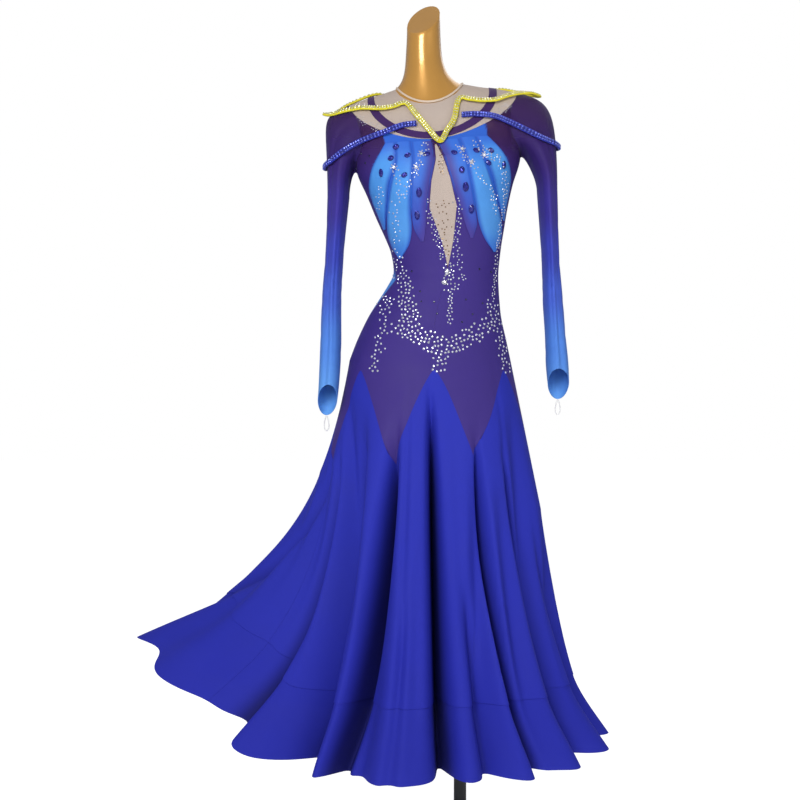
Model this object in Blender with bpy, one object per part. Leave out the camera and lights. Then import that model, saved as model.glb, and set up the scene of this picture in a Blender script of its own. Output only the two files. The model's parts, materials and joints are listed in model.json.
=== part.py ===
"""Ballroom dance dress on a limbless dress form.

Metres, +Z up. The origin is the middle of the stand's base, on the floor. The dress faces -Y.
Every cloth piece is a thin closed wall on one garment surface, garment_point(angle, level).
Angle is in degrees round the body: 0 at the centre front, +90 at the side on +X, 180 at the back.
Level 0 is the hip, the levels above it are the rows of BODY_RINGS, and the levels below it are the skirt.
"""
import math

import bpy
import bmesh
from mathutils import Vector
from mathutils.bvhtree import BVHTree

# Cloth and seams
CLOTH = 0.0014
SEAM_GAP = 0.0003
LAYER_GAP = 0.0006
PETAL_CLOTH = 0.0010

# Body rings, one row for each level from the hip up to the neckline. The height may change round a ring.
# name, height at front, at side, at back, centre x, half width, depth in front, depth behind, squareness
BODY_RINGS = (
    ("hip", 0.960, 0.960, 0.960, -0.0600, 0.1600, 0.124, 0.128, 2.05),
    ("high hip", 1.000, 1.000, 1.000, -0.0565, 0.1480, 0.117, 0.118, 2.05),
    ("belly", 1.043, 1.043, 1.043, -0.0510, 0.1330, 0.108, 0.104, 2.05),
    ("low waist", 1.080, 1.080, 1.080, -0.0420, 0.1200, 0.100, 0.092, 2.05),
    ("under waist", 1.115, 1.115, 1.115, -0.0330, 0.1090, 0.093, 0.083, 2.05),
    ("waist", 1.140, 1.140, 1.140, -0.0275, 0.1045, 0.089, 0.079, 2.05),
    ("over waist", 1.180, 1.180, 1.180, -0.0275, 0.1095, 0.092, 0.080, 2.10),
    ("ribs", 1.210, 1.210, 1.210, -0.0305, 0.1175, 0.096, 0.083, 2.10),
    ("under bust", 1.254, 1.254, 1.254, -0.0365, 0.1310, 0.104, 0.089, 2.15),
    ("bust", 1.300, 1.300, 1.300, -0.0405, 0.1455, 0.108, 0.094, 2.20),
    ("chest", 1.344, 1.344, 1.344, -0.0430, 0.1620, 0.106, 0.097, 2.30),
    ("armhole low", 1.358, 1.392, 1.380, -0.0460, 0.1680, 0.102, 0.097, 2.50),
    ("armhole mid", 1.373, 1.440, 1.415, -0.0500, 0.1700, 0.095, 0.095, 2.60),
    ("yoke edge", 1.388, 1.481, 1.450, -0.0535, 0.1670, 0.088, 0.088, 2.50),
    ("yoke", 1.415, 1.491, 1.478, -0.0560, 0.1320, 0.079, 0.074, 2.30),
    ("high yoke", 1.440, 1.498, 1.498, -0.0585, 0.0980, 0.070, 0.060, 2.10),
    ("neckline", 1.463, 1.506, 1.513, -0.0600, 0.0670, 0.058, 0.048, 2.00),
)
ARMPIT_LEVEL = 10.14
YOKE_LEVEL = 13.0
NECK_LEVEL = 16.0
FRONT_HEIGHT_POWER = 1.6

# The upper body leans to -X, so its rings rise towards +X
LEAN = 0.075
LEAN_START = 1.05
LEAN_FULL = 1.18

# Bust fullness over the cups
BUST_X = 0.062
BUST_Z = 1.300
BUST_OUT = 0.013
BUST_WIDTH = 0.045
BUST_HEIGHT = 0.048

# Skirt: hem rows by hip angle, and how the cloth flares from the hip to the hem
SKIRT_LEVELS = 18.0
HEM_CENTRE_X = -0.080
BAND_START = 0.845
BAND_KICK = 0.016
# hip angle, hem angle, reach from the hem centre, hem height, straight share of the flare, flare power
HEM_ROWS = (
    (-180.0, -180.0, 0.400, 0.206, 0.55, 3.0),
    (-145.0, -126.0, 0.430, 0.240, 0.45, 3.4),
    (-115.0, -92.0, 0.560, 0.405, 0.35, 3.7),
    (-92.0, -66.0, 0.500, 0.325, 0.38, 3.6),
    (-78.0, -50.0, 0.440, 0.240, 0.42, 3.4),
    (-70.0, -38.0, 0.420, 0.212, 0.48, 3.2),
    (-45.0, -28.0, 0.412, 0.206, 0.52, 3.0),
    (-24.0, -19.0, 0.405, 0.206, 0.55, 3.0),
    (4.0, 6.0, 0.400, 0.206, 0.58, 3.0),
    (29.0, 19.5, 0.400, 0.206, 0.60, 3.0),
    (40.0, 38.0, 0.415, 0.206, 0.64, 4.0),
    (60.0, 56.0, 0.410, 0.210, 0.70, 6.0),
    (90.0, 88.0, 0.372, 0.222, 0.78, 9.0),
    (130.0, 130.0, 0.390, 0.210, 0.65, 5.0),
    (180.0, 180.0, 0.400, 0.206, 0.55, 3.0),
)
# Folds of the skirt: hem angle, half width in degrees, depth at the hem, start between hip 0 and hem 1
SKIRT_FOLDS = (
    (-62.0, 8.0, 0.095, 0.30),
    (-38.0, 7.0, 0.120, 0.10),
    (-19.0, 5.0, 0.070, 0.24),
    (6.0, 6.0, 0.050, 0.08),
    (20.0, 5.0, 0.060, 0.24),
    (38.0, 6.5, 0.060, 0.30),
    (56.0, 8.0, 0.085, 0.12),
    (76.0, 6.0, 0.070, 0.40),
    (98.0, 8.0, 0.090, 0.20),
    (118.0, 7.0, 0.080, 0.30),
    (138.0, 7.0, 0.095, 0.22),
    (158.0, 7.0, 0.075, 0.30),
    (179.0, 7.0, 0.095, 0.15),
    (-160.0, 7.0, 0.080, 0.30),
    (-141.0, 7.0, 0.095, 0.22),
    (-122.0, 7.0, 0.085, 0.30),
    (-103.0, 6.0, 0.075, 0.40),
    (-82.0, 6.0, 0.070, 0.40),
)

# Zigzag seam between body and skirt: angle of each point and its height, with an arch top between points
ZIGZAG_POINTS = ((-150.0, 0.760), (-90.0, 0.760), (-24.0, 0.756), (28.0, 0.774), (90.0, 0.765), (150.0, 0.760),
                 (210.0, 0.760))
ARCH_TOP = 0.938
ARCH_ROUND = 1.35

# Columns of a quarter of the body, in degrees from the centre line, with one at each zigzag point
FRONT_RIGHT_ANGLES = (0.0, 9.0, 18.5, 28.0, 38.0, 48.5, 59.0, 69.0, 79.5, 90.0)
FRONT_LEFT_ANGLES = (0.0, -8.0, -16.0, -24.0, -35.0, -46.0, -57.0, -68.0, -79.0, -90.0)
BACK_RIGHT_ANGLES = (180.0, 170.0, 160.0, 150.0, 140.0, 130.0, 120.0, 110.0, 100.0, 90.0)
BACK_LEFT_ANGLES = (-180.0, -170.0, -160.0, -150.0, -140.0, -130.0, -120.0, -110.0, -100.0, -90.0)
# Rows of a body panel as shares of its height at each column. Share 0.84 is the armpit on the side seam.
PANEL_ROWS = (0.0, 0.09, 0.18, 0.27, 0.35, 0.406, 0.48, 0.56, 0.636, 0.70, 0.77, 0.84, 0.868, 0.895, 0.922,
              0.948, 0.974, 1.0)
ARMHOLE_FIRST_ROW = 11

# Armhole: share of its height, and the angle of its edge measured from the centre line
ARMHOLE_ROWS = ((0.0, 90.0), (0.13, 70.0), (0.3, 58.5), (0.55, 53.0), (0.8, 54.5), (1.0, 60.0))
SHOULDER_CORNER = 60.0
SHOULDER_ANGLES = (75.0, 90.0, 105.0)

# Keyhole in the centre front: height and half width
KEYHOLE_ROWS = ((1.138, 0.0003), (1.175, 0.0080), (1.200, 0.0138), (1.254, 0.0266), (1.305, 0.0185),
                (1.345, 0.0080), (1.380, 0.0012))

# Petals of the bodice, the same on both sides: height, inner x, outer x from the centre line
PETALS = {
    "inner": ((1.192, 0.045, 0.050), (1.220, 0.038, 0.061), (1.254, 0.033, 0.060), (1.300, 0.024, 0.0555),
              (1.345, 0.0135, 0.0500), (1.384, 0.0075, 0.0455)),
    "middle": ((1.165, 0.090, 0.094), (1.190, 0.073, 0.1065), (1.220, 0.0645, 0.1120), (1.254, 0.0625, 0.1075),
               (1.300, 0.0580, 0.0965), (1.345, 0.0525, 0.0835), (1.386, 0.0480, 0.0770)),
    "outer": ((1.226, 0.1145, 0.1185), (1.254, 0.1100, 0.1260), (1.280, 0.1050, 0.1340), (1.310, 0.0990, 0.1390),
              (1.345, 0.0860, 0.1300), (1.386, 0.0795, 0.1000)),
}
PETAL_COLUMNS = 3
PETAL_STEPS = 2
TRIANGLE_SAMPLES = 5

# Large stones: name, x, height, width, length. The drops hang point up.
STONES = (
    ("left_a", -0.079, 1.3760, 0.013, 0.011), ("left_b", -0.0925, 1.3560, 0.013, 0.010),
    ("left_c", -0.0600, 1.3570, 0.013, 0.010), ("left_d", -0.0230, 1.3560, 0.013, 0.010),
    ("left_e", -0.1130, 1.3310, 0.010, 0.016), ("left_f", -0.0690, 1.3190, 0.013, 0.010),
    ("left_g", -0.0440, 1.2840, 0.011, 0.019), ("left_h", -0.0510, 1.2430, 0.010, 0.018),
    ("right_a", 0.0300, 1.3550, 0.013, 0.010), ("right_b", 0.0720, 1.3570, 0.013, 0.010),
    ("right_c", 0.1000, 1.3570, 0.013, 0.010), ("right_d", 0.0930, 1.3330, 0.013, 0.010),
    ("right_e", 0.0410, 1.3200, 0.011, 0.014), ("right_f", 0.0460, 1.2880, 0.012, 0.019),
    ("right_g", 0.0530, 1.2470, 0.011, 0.018), ("right_h", 0.1230, 1.3300, 0.010, 0.016),
    ("centre_drop", 0.0005, 1.1290, 0.009, 0.013), ("centre_oval", 0.0005, 1.1080, 0.011, 0.009),
)
STONE_HEIGHT = 0.004
STONE_SIDES = 7

# Sleeves: height, centre x, half width, centre y, half depth, below the sleeve head
SLEEVE_ROWS = {
    "left": ((0.830, -0.2680, 0.0170, -0.0560, 0.0300), (0.900, -0.2610, 0.0195, -0.0460, 0.0340),
             (0.980, -0.2575, 0.0205, -0.0280, 0.0400), (1.080, -0.2560, 0.0190, -0.0120, 0.0470),
             (1.180, -0.2500, 0.0180, -0.0040, 0.0550), (1.285, -0.2430, 0.0215, 0.0000, 0.0620)),
    "right": ((0.860, 0.1990, 0.0180, -0.0100, 0.0300), (0.945, 0.1940, 0.0220, -0.0060, 0.0350),
              (1.010, 0.1900, 0.0200, -0.0040, 0.0400), (1.080, 0.1855, 0.0195, 0.0000, 0.0460),
              (1.160, 0.1810, 0.0170, 0.0000, 0.0530), (1.300, 0.1740, 0.0195, 0.0000, 0.0620)),
}
SLEEVE_TOP = {"left": 1.285, "right": 1.300}
CUFF_MIDDLE = {"left": 0.880, "right": 0.912}
CUFF_SLANT = 0.030
HEAD_ROWS = 7
ARM_ROWS = 9
# Pull of the sleeve head's curve at the underarm, the front and the top: along the body, then up the sleeve
HEAD_PULL = ((0.0, 0.014, 0.016), (90.0, 0.034, 0.070), (180.0, 0.072, 0.160))
FRONT_PLEAT = 0.0050
# How far the sleeve turns out from the body's surface at the armhole seam
SLEEVE_STAND = 0.6

# Neckline binding and the dark band of the yoke
BINDING_HEIGHT = 0.0055
BINDING_CLOTH = 0.0024
BAND_LOW_FRONT = 13.03
BAND_LOW_SIDE = 14.12
BAND_RISE_FRONT = 0.50
BAND_RISE_SIDE = 0.40
BAND_CLOTH = 0.0010

# Stoned strips over the shoulders
STRIP_WIDTH = 0.0118
STRIP_THICKNESS = 0.0085
STRIP_SIDES = 6
STRIP_CLEARANCE = 0.0006
YELLOW_STATIONS = 76
BLUE_STATIONS = 66
# Ways in which a strip's route point is laid on the dress
WAYS = {
    "front": (0.0, 1.0, 0.0), "high": (0.0, 0.7, -0.7), "top": (0.0, 0.0, -1.0), "back high": (0.0, -0.7, -0.7),
    "back": (0.0, -1.0, 0.0), "left": (1.0, 0.0, 0.0), "right": (-1.0, 0.0, 0.0),
}
# x, y, z of a point on the way, the way, clearance from the cloth
YELLOW_ROUTE = (
    (-0.0424, 0.0, 1.3835, "front", 0.0006), (-0.0284, 0.0, 1.4046, "front", 0.0030),
    (-0.0142, 0.0, 1.4290, "front", 0.0040), (-0.0040, -0.055, 1.4700, "high", 0.0020),
    (0.0179, -0.058, 1.4730, "high", 0.0030), (0.0396, -0.058, 1.4710, "high", 0.0030),
    (0.0675, -0.052, 1.4700, "high", 0.0030), (0.0922, -0.036, 1.4790, "top", 0.0030),
    (0.1170, -0.026, 1.4890, "top", 0.0020), (0.1420, -0.014, 1.5000, "top", 0.0015),
    (0.1580, 0.004, 1.5040, "top", 0.0010), (0.1440, 0.022, 1.5100, "top", 0.0020),
    (0.1180, 0.032, 1.5140, "top", 0.0040), (0.0720, 0.042, 1.5140, "top", 0.0040),
    (0.0250, 0.075, 1.4700, "back high", 0.0020), (-0.0540, 0.080, 1.4450, "back", 0.0020),
    (-0.1330, 0.075, 1.4600, "back high", 0.0020), (-0.1600, 0.042, 1.4940, "top", 0.0040),
    (-0.2190, 0.030, 1.4820, "top", 0.0040), (-0.2540, 0.020, 1.4650, "top", 0.0020),
    (-0.2720, 0.002, 1.4580, "top", 0.0010), (-0.2560, -0.016, 1.4520, "top", 0.0015),
    (-0.2290, -0.028, 1.4520, "top", 0.0020), (-0.1970, -0.038, 1.4560, "top", 0.0030),
    (-0.1614, -0.052, 1.4500, "high", 0.0030), (-0.1357, -0.058, 1.4550, "high", 0.0030),
    (-0.1090, -0.055, 1.4600, "high", 0.0020), (-0.0900, 0.0, 1.4400, "front", 0.0040),
    (-0.0650, 0.0, 1.4080, "front", 0.0030),
)
BLUE_ROUTE = (
    (-0.0930, 0.0, 1.4185, "front", 0.0030), (-0.1160, 0.0, 1.4154, "front", 0.0050),
    (-0.1490, 0.0, 1.4022, "front", 0.0060), (-0.1984, 0.0, 1.3857, "front", 0.0060),
    (-0.2337, 0.0, 1.3660, "front", 0.0050), (-0.2600, -0.050, 1.3500, "left", 0.0030),
    (-0.2720, 0.0, 1.3440, "left", 0.0006), (-0.2600, 0.050, 1.3560, "left", 0.0030),
    (-0.2250, 0.0, 1.4000, "back", 0.0050), (-0.1800, 0.0, 1.4550, "back", 0.0050),
    (-0.1400, 0.062, 1.4950, "back high", 0.0050), (-0.1050, 0.058, 1.5150, "back high", 0.0080),
    (-0.0540, 0.060, 1.5200, "back high", 0.0090), (0.0100, 0.058, 1.5200, "back high", 0.0090),
    (0.0450, 0.058, 1.5100, "back high", 0.0070), (0.0950, 0.0, 1.4700, "back", 0.0050),
    (0.1400, 0.0, 1.4250, "back", 0.0050), (0.1800, 0.050, 1.3950, "right", 0.0030),
    (0.1880, 0.0, 1.3840, "right", 0.0006), (0.1800, -0.050, 1.3900, "right", 0.0030),
    (0.1500, 0.0, 1.3980, "front", 0.0050), (0.1015, 0.0, 1.4210, "front", 0.0060),
    (0.0640, 0.0, 1.4347, "front", 0.0060), (0.0270, 0.0, 1.4386, "front", 0.0050),
    (0.0060, 0.0, 1.4375, "front", 0.0030),
)

# Finger loops
LOOP_CORD = 0.0022
LOOP_LENGTH = 0.030
LOOP_WIDTH = 0.009
LOOP_STATIONS = 14

# Dress form and stand
FORM_CLEARANCE = 0.0085
SHOULDER_CLEARANCE = 0.0009
# height, centre x, half width, depth in front, depth behind
FORM_BOTTOM = ((0.800, -0.0600, 0.1420, 0.104, 0.112), (0.830, -0.0610, 0.1480, 0.110, 0.119),
               (0.880, -0.0615, 0.1525, 0.115, 0.123), (0.930, -0.0610, 0.1545, 0.118, 0.124))
FORM_LEVELS = (1.0, 2.5, 4.0, 5.0, 6.2, 7.6, 9.0, 10.0, 11.0, 12.0, 12.7, 13.0, 14.0, 15.0, 16.0)
# height, centre x, half width, depth in front, depth behind, rise from front to back
FORM_NECK = ((1.522, -0.0670, 0.0460, 0.0440, 0.0440, 0.0), (1.550, -0.0715, 0.0380, 0.0390, 0.0390, 0.0),
             (1.585, -0.0735, 0.0345, 0.0360, 0.0370, 0.10), (1.640, -0.0730, 0.0330, 0.0340, 0.0360, 0.90))
# How much further the form stands in at the armhole
FORM_ARM_INSET = 0.011
POLE_RADIUS = 0.0125
BASE_RADIUS = 0.160
BASE_HEIGHT = 0.012
BASE_EDGE = 0.003

# name: colour, roughness, metallic
FINISHES = {
    "purple stretch": ((0.064, 0.038, 0.262, 1.0), 0.55, 0.0),
    "royal crepe": ((0.025, 0.022, 0.410, 1.0), 0.60, 0.0),
    "sky satin": ((0.045, 0.230, 0.760, 1.0), 0.45, 0.0),
    "nude mesh": ((0.580, 0.480, 0.420, 1.0), 0.70, 0.0),
    "white elastic": ((0.850, 0.850, 0.850, 1.0), 0.60, 0.0),
    "yellow stones": ((0.830, 0.730, 0.040, 1.0), 0.35, 0.0),
    "blue stones": ((0.040, 0.060, 0.550, 1.0), 0.35, 0.0),
    "navy crystal": ((0.010, 0.015, 0.200, 1.0), 0.10, 0.0),
    "clear crystal": ((0.800, 0.820, 0.850, 1.0), 0.08, 0.0),
    "gold shell": ((0.600, 0.360, 0.080, 1.0), 0.25, 0.6),
    "dark metal": ((0.060, 0.060, 0.065, 1.0), 0.35, 0.8),
}


def smoothstep(low, high, value):
    share = min(max((value - low) / (high - low), 0.0), 1.0)
    return share * share * (3.0 - 2.0 * share)


def read_table(rows, key):
    """The columns after the first, read at key by a smooth curve through the rows. The first column rises."""
    last = len(rows) - 1
    place = 0
    while place < last - 1 and key > rows[place + 1][0]:
        place += 1
    before, low, high, after = rows[max(place - 1, 0)], rows[place], rows[place + 1], rows[min(place + 2, last)]
    span = high[0] - low[0]
    share = min(max((key - low[0]) / span, 0.0), 1.0)
    square, cube = share ** 2, share ** 3
    values = []
    for column in range(1, len(low)):
        slope_low = span * (high[column] - before[column]) / (high[0] - before[0])
        slope_high = span * (after[column] - low[column]) / (after[0] - low[0])
        values.append((2 * cube - 3 * square + 1) * low[column] + (cube - 2 * square + share) * slope_low
                      + (3 * square - 2 * cube) * high[column] + (cube - square) * slope_high)
    return values


RING_TABLE = tuple((float(level),) + row[1:] for level, row in enumerate(BODY_RINGS))
BODY_TABLE = RING_TABLE[:int(YOKE_LEVEL) + 1]
YOKE_TABLE = RING_TABLE[int(YOKE_LEVEL):]


def ring_sizes(level):
    """Sizes of the body ring at a level. The yoke has its own curve, so the shoulder keeps its corner."""
    return read_table(BODY_TABLE if level <= YOKE_LEVEL else YOKE_TABLE, level)


def ring_point(sizes, angle):
    """Local x, y and height on a ring of the body, before its centre and lean are added."""
    front_z, side_z, back_z, half_width, front, back, squareness = sizes
    sine, cosine = math.sin(math.radians(angle)), math.cos(math.radians(angle))
    norm = (abs(sine) ** squareness + abs(cosine) ** squareness) ** (1.0 / squareness)
    depth, end_z = (front, front_z) if cosine > 0.0 else (back, back_z)
    height = side_z + (end_z - side_z) * abs(cosine) ** FRONT_HEIGHT_POWER
    return half_width * sine / norm, -depth * cosine / norm, height


def lean_at(height):
    return LEAN * smoothstep(LEAN_START, LEAN_FULL, height)


def body_point(angle, level):
    front_z, side_z, back_z, centre, half_width, front, back, squareness = ring_sizes(level)
    x, y, height = ring_point((front_z, side_z, back_z, half_width, front, back, squareness), angle)
    if y < 0.0:
        across = (abs(x) - BUST_X) / BUST_WIDTH
        up = (height - BUST_Z) / BUST_HEIGHT
        y -= BUST_OUT * math.exp(-across ** 2 - up ** 2)
    return Vector((centre + x, y, height + lean_at(height) * x))


def turn_between(angle, other):
    return (angle - other + 180.0) % 360.0 - 180.0


def fold_depth(hem_angle, share):
    depth = 0.0
    for fold_angle, half_width, full_depth, start in SKIRT_FOLDS:
        if share > start:
            grown = ((share - start) / (1.0 - start)) ** 0.9
            off = turn_between(hem_angle, fold_angle) / half_width
            depth += full_depth * grown * math.exp(-off * off)
    return depth


def skirt_point(angle, share):
    """A point of the skirt, share 0 at the hip and 1 at the hem."""
    angle = turn_between(angle, 0.0)
    hem_angle, reach, hem_z, straight, power = read_table(HEM_ROWS, angle)
    hip = body_point(angle, 0.0)
    turn = math.radians(hem_angle)
    blend = straight * share + (1.0 - straight) * share ** power
    x = hip.x + (HEM_CENTRE_X + reach * math.sin(turn) - hip.x) * blend
    y = hip.y + (-reach * math.cos(turn) - hip.y) * blend
    facing = math.radians(angle + turn_between(hem_angle, angle) * blend)
    kick = BAND_KICK * smoothstep(BAND_START, 1.0, share)
    inward = fold_depth(hem_angle, share) - kick
    return Vector((x - inward * math.sin(facing), y + inward * math.cos(facing), hip.z + (hem_z - hip.z) * share))


def garment_point(angle, level):
    if level >= 0.0:
        return body_point(angle, level)
    return skirt_point(angle, -level / SKIRT_LEVELS)


def garment_normal(angle, level):
    step = 0.02
    round_way = garment_point(angle + 0.5, level) - garment_point(angle - 0.5, level)
    up_way = garment_point(angle, min(level + step, NECK_LEVEL)) - garment_point(angle, level - step)
    return round_way.cross(up_way).normalized()


def front_place(x, height):
    """Angle and level of the front point at local x and height."""
    low, high = 3.0, NECK_LEVEL
    for _ in range(40):
        level = (low + high) / 2.0
        front_z, side_z, _back_z, _centre, half_width, _front, _back, squareness = ring_sizes(level)
        wide = min(abs(x) / half_width, 0.9999) ** squareness
        angle = math.degrees(math.atan((wide / (1.0 - wide)) ** (1.0 / squareness)))
        here = side_z + (front_z - side_z) * math.cos(math.radians(angle)) ** FRONT_HEIGHT_POWER
        if here < height:
            low = level
        else:
            high = level
    return math.copysign(angle, x), level


def zigzag_level(angle):
    """Level of the seam between body and skirt."""
    angle = (angle - ZIGZAG_POINTS[0][0]) % 360.0 + ZIGZAG_POINTS[0][0]
    for (low, low_z), (high, high_z) in zip(ZIGZAG_POINTS, ZIGZAG_POINTS[1:]):
        if low <= angle <= high:
            across = (angle - low) / (high - low)
            arch = 1.0 - abs(2.0 * across - 1.0) ** ARCH_ROUND
            height = low_z + (high_z - low_z) * across
            height += (ARCH_TOP - height) * arch
            hip = body_point(angle, 0.0)
            hem_z = read_table(HEM_ROWS, turn_between(angle, 0.0))[2]
            return -SKIRT_LEVELS * (hip.z - height) / (hip.z - hem_z)
    raise ValueError(angle)


def keyhole_angle(level):
    """Angle of the keyhole's edge on a level, or 0 where there is no keyhole."""
    if level < 3.0:
        return 0.0
    front_z, _side, _back_z, _centre, half_width, _front, _back, squareness = ring_sizes(level)
    if not KEYHOLE_ROWS[0][0] < front_z < KEYHOLE_ROWS[-1][0]:
        return 0.0
    for (low, low_half), (high, high_half) in zip(KEYHOLE_ROWS, KEYHOLE_ROWS[1:]):
        if low <= front_z <= high:
            half = low_half + (high_half - low_half) * (front_z - low) / (high - low)
    wide = (half / half_width) ** squareness
    return math.degrees(math.atan((wide / (1.0 - wide)) ** (1.0 / squareness)))


def armhole_angle(level):
    share = (level - ARMPIT_LEVEL) / (YOKE_LEVEL - ARMPIT_LEVEL)
    if share <= 0.0:
        return 90.0
    return read_table(ARMHOLE_ROWS, share)[0]


def panel_place(column_angles, column, row_share):
    """Angle and level of a body panel's grid point."""
    base_angle = column_angles[column]
    across = column / (len(column_angles) - 1)
    low = zigzag_level(base_angle)
    level = low + (YOKE_LEVEL - low) * row_share
    front = abs(column_angles[0]) < 1.0
    side = math.copysign(1.0, column_angles[-1])
    inner = keyhole_angle(level) if front else 0.0
    outer = armhole_angle(level)
    share_of_quarter = abs(base_angle) / 90.0 if front else (180.0 - abs(base_angle)) / 90.0
    from_middle = inner + (outer - inner) * (share_of_quarter if across > 0.0 else 0.0)
    return side * (from_middle if front else 180.0 - from_middle), level


def edge_in(grid, wrap, distance):
    """Draw the grid's open edges in by a distance, so that seams have a gap."""
    rows, columns = len(grid), len(grid[0])
    moved = [list(row) for row in grid]
    for r in range(rows):
        for c in range(columns):
            shift = Vector((0.0, 0.0, 0.0))
            if r == 0:
                shift += (grid[1][c] - grid[0][c]).normalized()
            if r == rows - 1:
                shift += (grid[-2][c] - grid[-1][c]).normalized()
            if not wrap and c == 0:
                shift += (grid[r][1] - grid[r][0]).normalized()
            if not wrap and c == columns - 1:
                shift += (grid[r][-2] - grid[r][-1]).normalized()
            moved[r][c] = grid[r][c] + shift * distance
    return moved


def grid_normals(grid, wrap):
    rows, columns = len(grid), len(grid[0])
    normals = []
    for r in range(rows):
        line = []
        for c in range(columns):
            if wrap:
                across = grid[r][(c + 1) % columns] - grid[r][c - 1]
            else:
                across = grid[r][min(c + 1, columns - 1)] - grid[r][max(c - 1, 0)]
            along = grid[min(r + 1, rows - 1)][c] - grid[max(r - 1, 0)][c]
            line.append(across.cross(along).normalized())
        normals.append(line)
    return normals


def finish_of(name):
    material = bpy.data.materials.get(name)
    if material is None:
        colour, roughness, metallic = FINISHES[name]
        material = bpy.data.materials.new(name)
        material.use_nodes = True
        shader = material.node_tree.nodes["Principled BSDF"]
        shader.inputs["Base Color"].default_value = colour
        shader.inputs["Roughness"].default_value = roughness
        shader.inputs["Metallic"].default_value = metallic
    return material


def add_solid(name, points, faces, finish):
    """One closed object from points and faces, its faces turned outwards."""
    bm = bmesh.new()
    verts = [bm.verts.new(point) for point in points]
    for face in faces:
        bm.faces.new([verts[index] for index in face])
    bmesh.ops.recalc_face_normals(bm, faces=bm.faces)
    bmesh.ops.triangulate(bm, faces=bm.faces[:], quad_method="FIXED", ngon_method="BEAUTY")
    mesh = bpy.data.meshes.new(name)
    bm.to_mesh(mesh)
    bm.free()
    mesh.materials.append(finish_of(finish))
    piece = bpy.data.objects.new(name, mesh)
    bpy.context.scene.collection.objects.link(piece)
    mesh.shade_smooth()
    mesh.set_sharp_from_angle(angle=math.radians(50.0))
    return piece


def surface_wall(name, places, finish, **options):
    """A cloth wall from a grid of (angle, level) places on the garment surface."""
    grid = [[garment_point(*place) for place in row] for row in places]
    normals = [[garment_normal(*place) for place in row] for row in places]
    return cloth_wall(name, grid, finish, normals=normals, **options)


def cloth_wall(name, grid, finish, thickness=CLOTH, wrap=False, lift=0.0, gap=SEAM_GAP, normals=None):
    """A closed thin wall on a grid of points, with its open edges drawn in by half of the seam gap."""
    grid = edge_in(grid, wrap, gap / 2.0)
    if normals is None:
        normals = grid_normals(grid, wrap)
    rows, columns = len(grid), len(grid[0])
    outer = [grid[r][c] + normals[r][c] * (lift + thickness / 2.0) for r in range(rows) for c in range(columns)]
    inner = [grid[r][c] + normals[r][c] * (lift - thickness / 2.0) for r in range(rows) for c in range(columns)]
    below = rows * columns
    faces = []
    for r in range(rows - 1):
        for c in range(columns if wrap else columns - 1):
            after = (c + 1) % columns
            a, b = r * columns + c, r * columns + after
            d, e = (r + 1) * columns + c, (r + 1) * columns + after
            faces.append((a, b, e, d))
            faces.append((below + a, below + d, below + e, below + b))
    for r in (0, rows - 1):
        for c in range(columns if wrap else columns - 1):
            a, b = r * columns + c, r * columns + (c + 1) % columns
            faces.append((a, below + a, below + b, b))
    if not wrap:
        for c in (0, columns - 1):
            for r in range(rows - 1):
                a, d = r * columns + c, (r + 1) * columns + c
                faces.append((a, d, below + d, below + a))
    return add_solid(name, outer + inner, faces, finish)


def make_body_panel(name, column_angles):
    places = [[panel_place(column_angles, column, row_share) for column in range(len(column_angles))]
              for row_share in PANEL_ROWS]
    if column_angles[-1] < column_angles[0]:
        places = [row[::-1] for row in places]
    return surface_wall(name, places, "purple stretch")


def make_keyhole_insert():
    """The mesh kite between the keyhole's two edges, with its rows at the body panels' rows."""
    low = zigzag_level(0.0)
    levels = [low + (YOKE_LEVEL - low) * share for share in PANEL_ROWS]
    levels = [level for level in levels if keyhole_angle(level) > 0.6]
    places = [[(keyhole_angle(level) * across, level) for across in (-1.0, 0.0, 1.0)] for level in levels]
    return surface_wall("keyhole_insert", places, "nude mesh", gap=2.0 * SEAM_GAP)


def quarter_of_yoke(column_angles):
    """Angles of the yoke's columns from the centre line to the shoulder: the body panel's, then the sleeve's."""
    middle = column_angles[0]
    along = [abs(angle - middle) / 90.0 * SHOULDER_CORNER for angle in column_angles]
    return along + list(SHOULDER_ANGLES[:2])


def yoke_angles(front):
    if front:
        left, right = quarter_of_yoke(FRONT_LEFT_ANGLES), quarter_of_yoke(FRONT_RIGHT_ANGLES)
        return [-angle for angle in left[:0:-1]] + right
    quarter = quarter_of_yoke(BACK_RIGHT_ANGLES)
    return [180.0 - angle for angle in quarter[:0:-1]] + [180.0 + angle for angle in quarter]


def make_yoke(name, front):
    rows = (YOKE_LEVEL, 14.0, 15.0, NECK_LEVEL)
    grid = [[garment_point(angle, level) for angle in yoke_angles(front)] for level in rows]
    normals = [[garment_normal(angle, level) for angle in yoke_angles(front)] for level in rows]
    for column, angle in enumerate(yoke_angles(front)):
        if abs(abs(turn_between(angle, 0.0)) - 90.0) < 29.0:
            normals[0][column] = garment_normal(angle, YOKE_LEVEL + 0.1)
    return cloth_wall(name, grid, "nude mesh", normals=normals)


def neck_ring_point(row, angle):
    """A point of the form's neck."""
    height, centre, half_width, front, back, rise = row
    x, y, _z = ring_point((height, height, height, half_width, front, back, 2.0), angle)
    return Vector((centre + x, y, height + rise * y))


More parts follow.
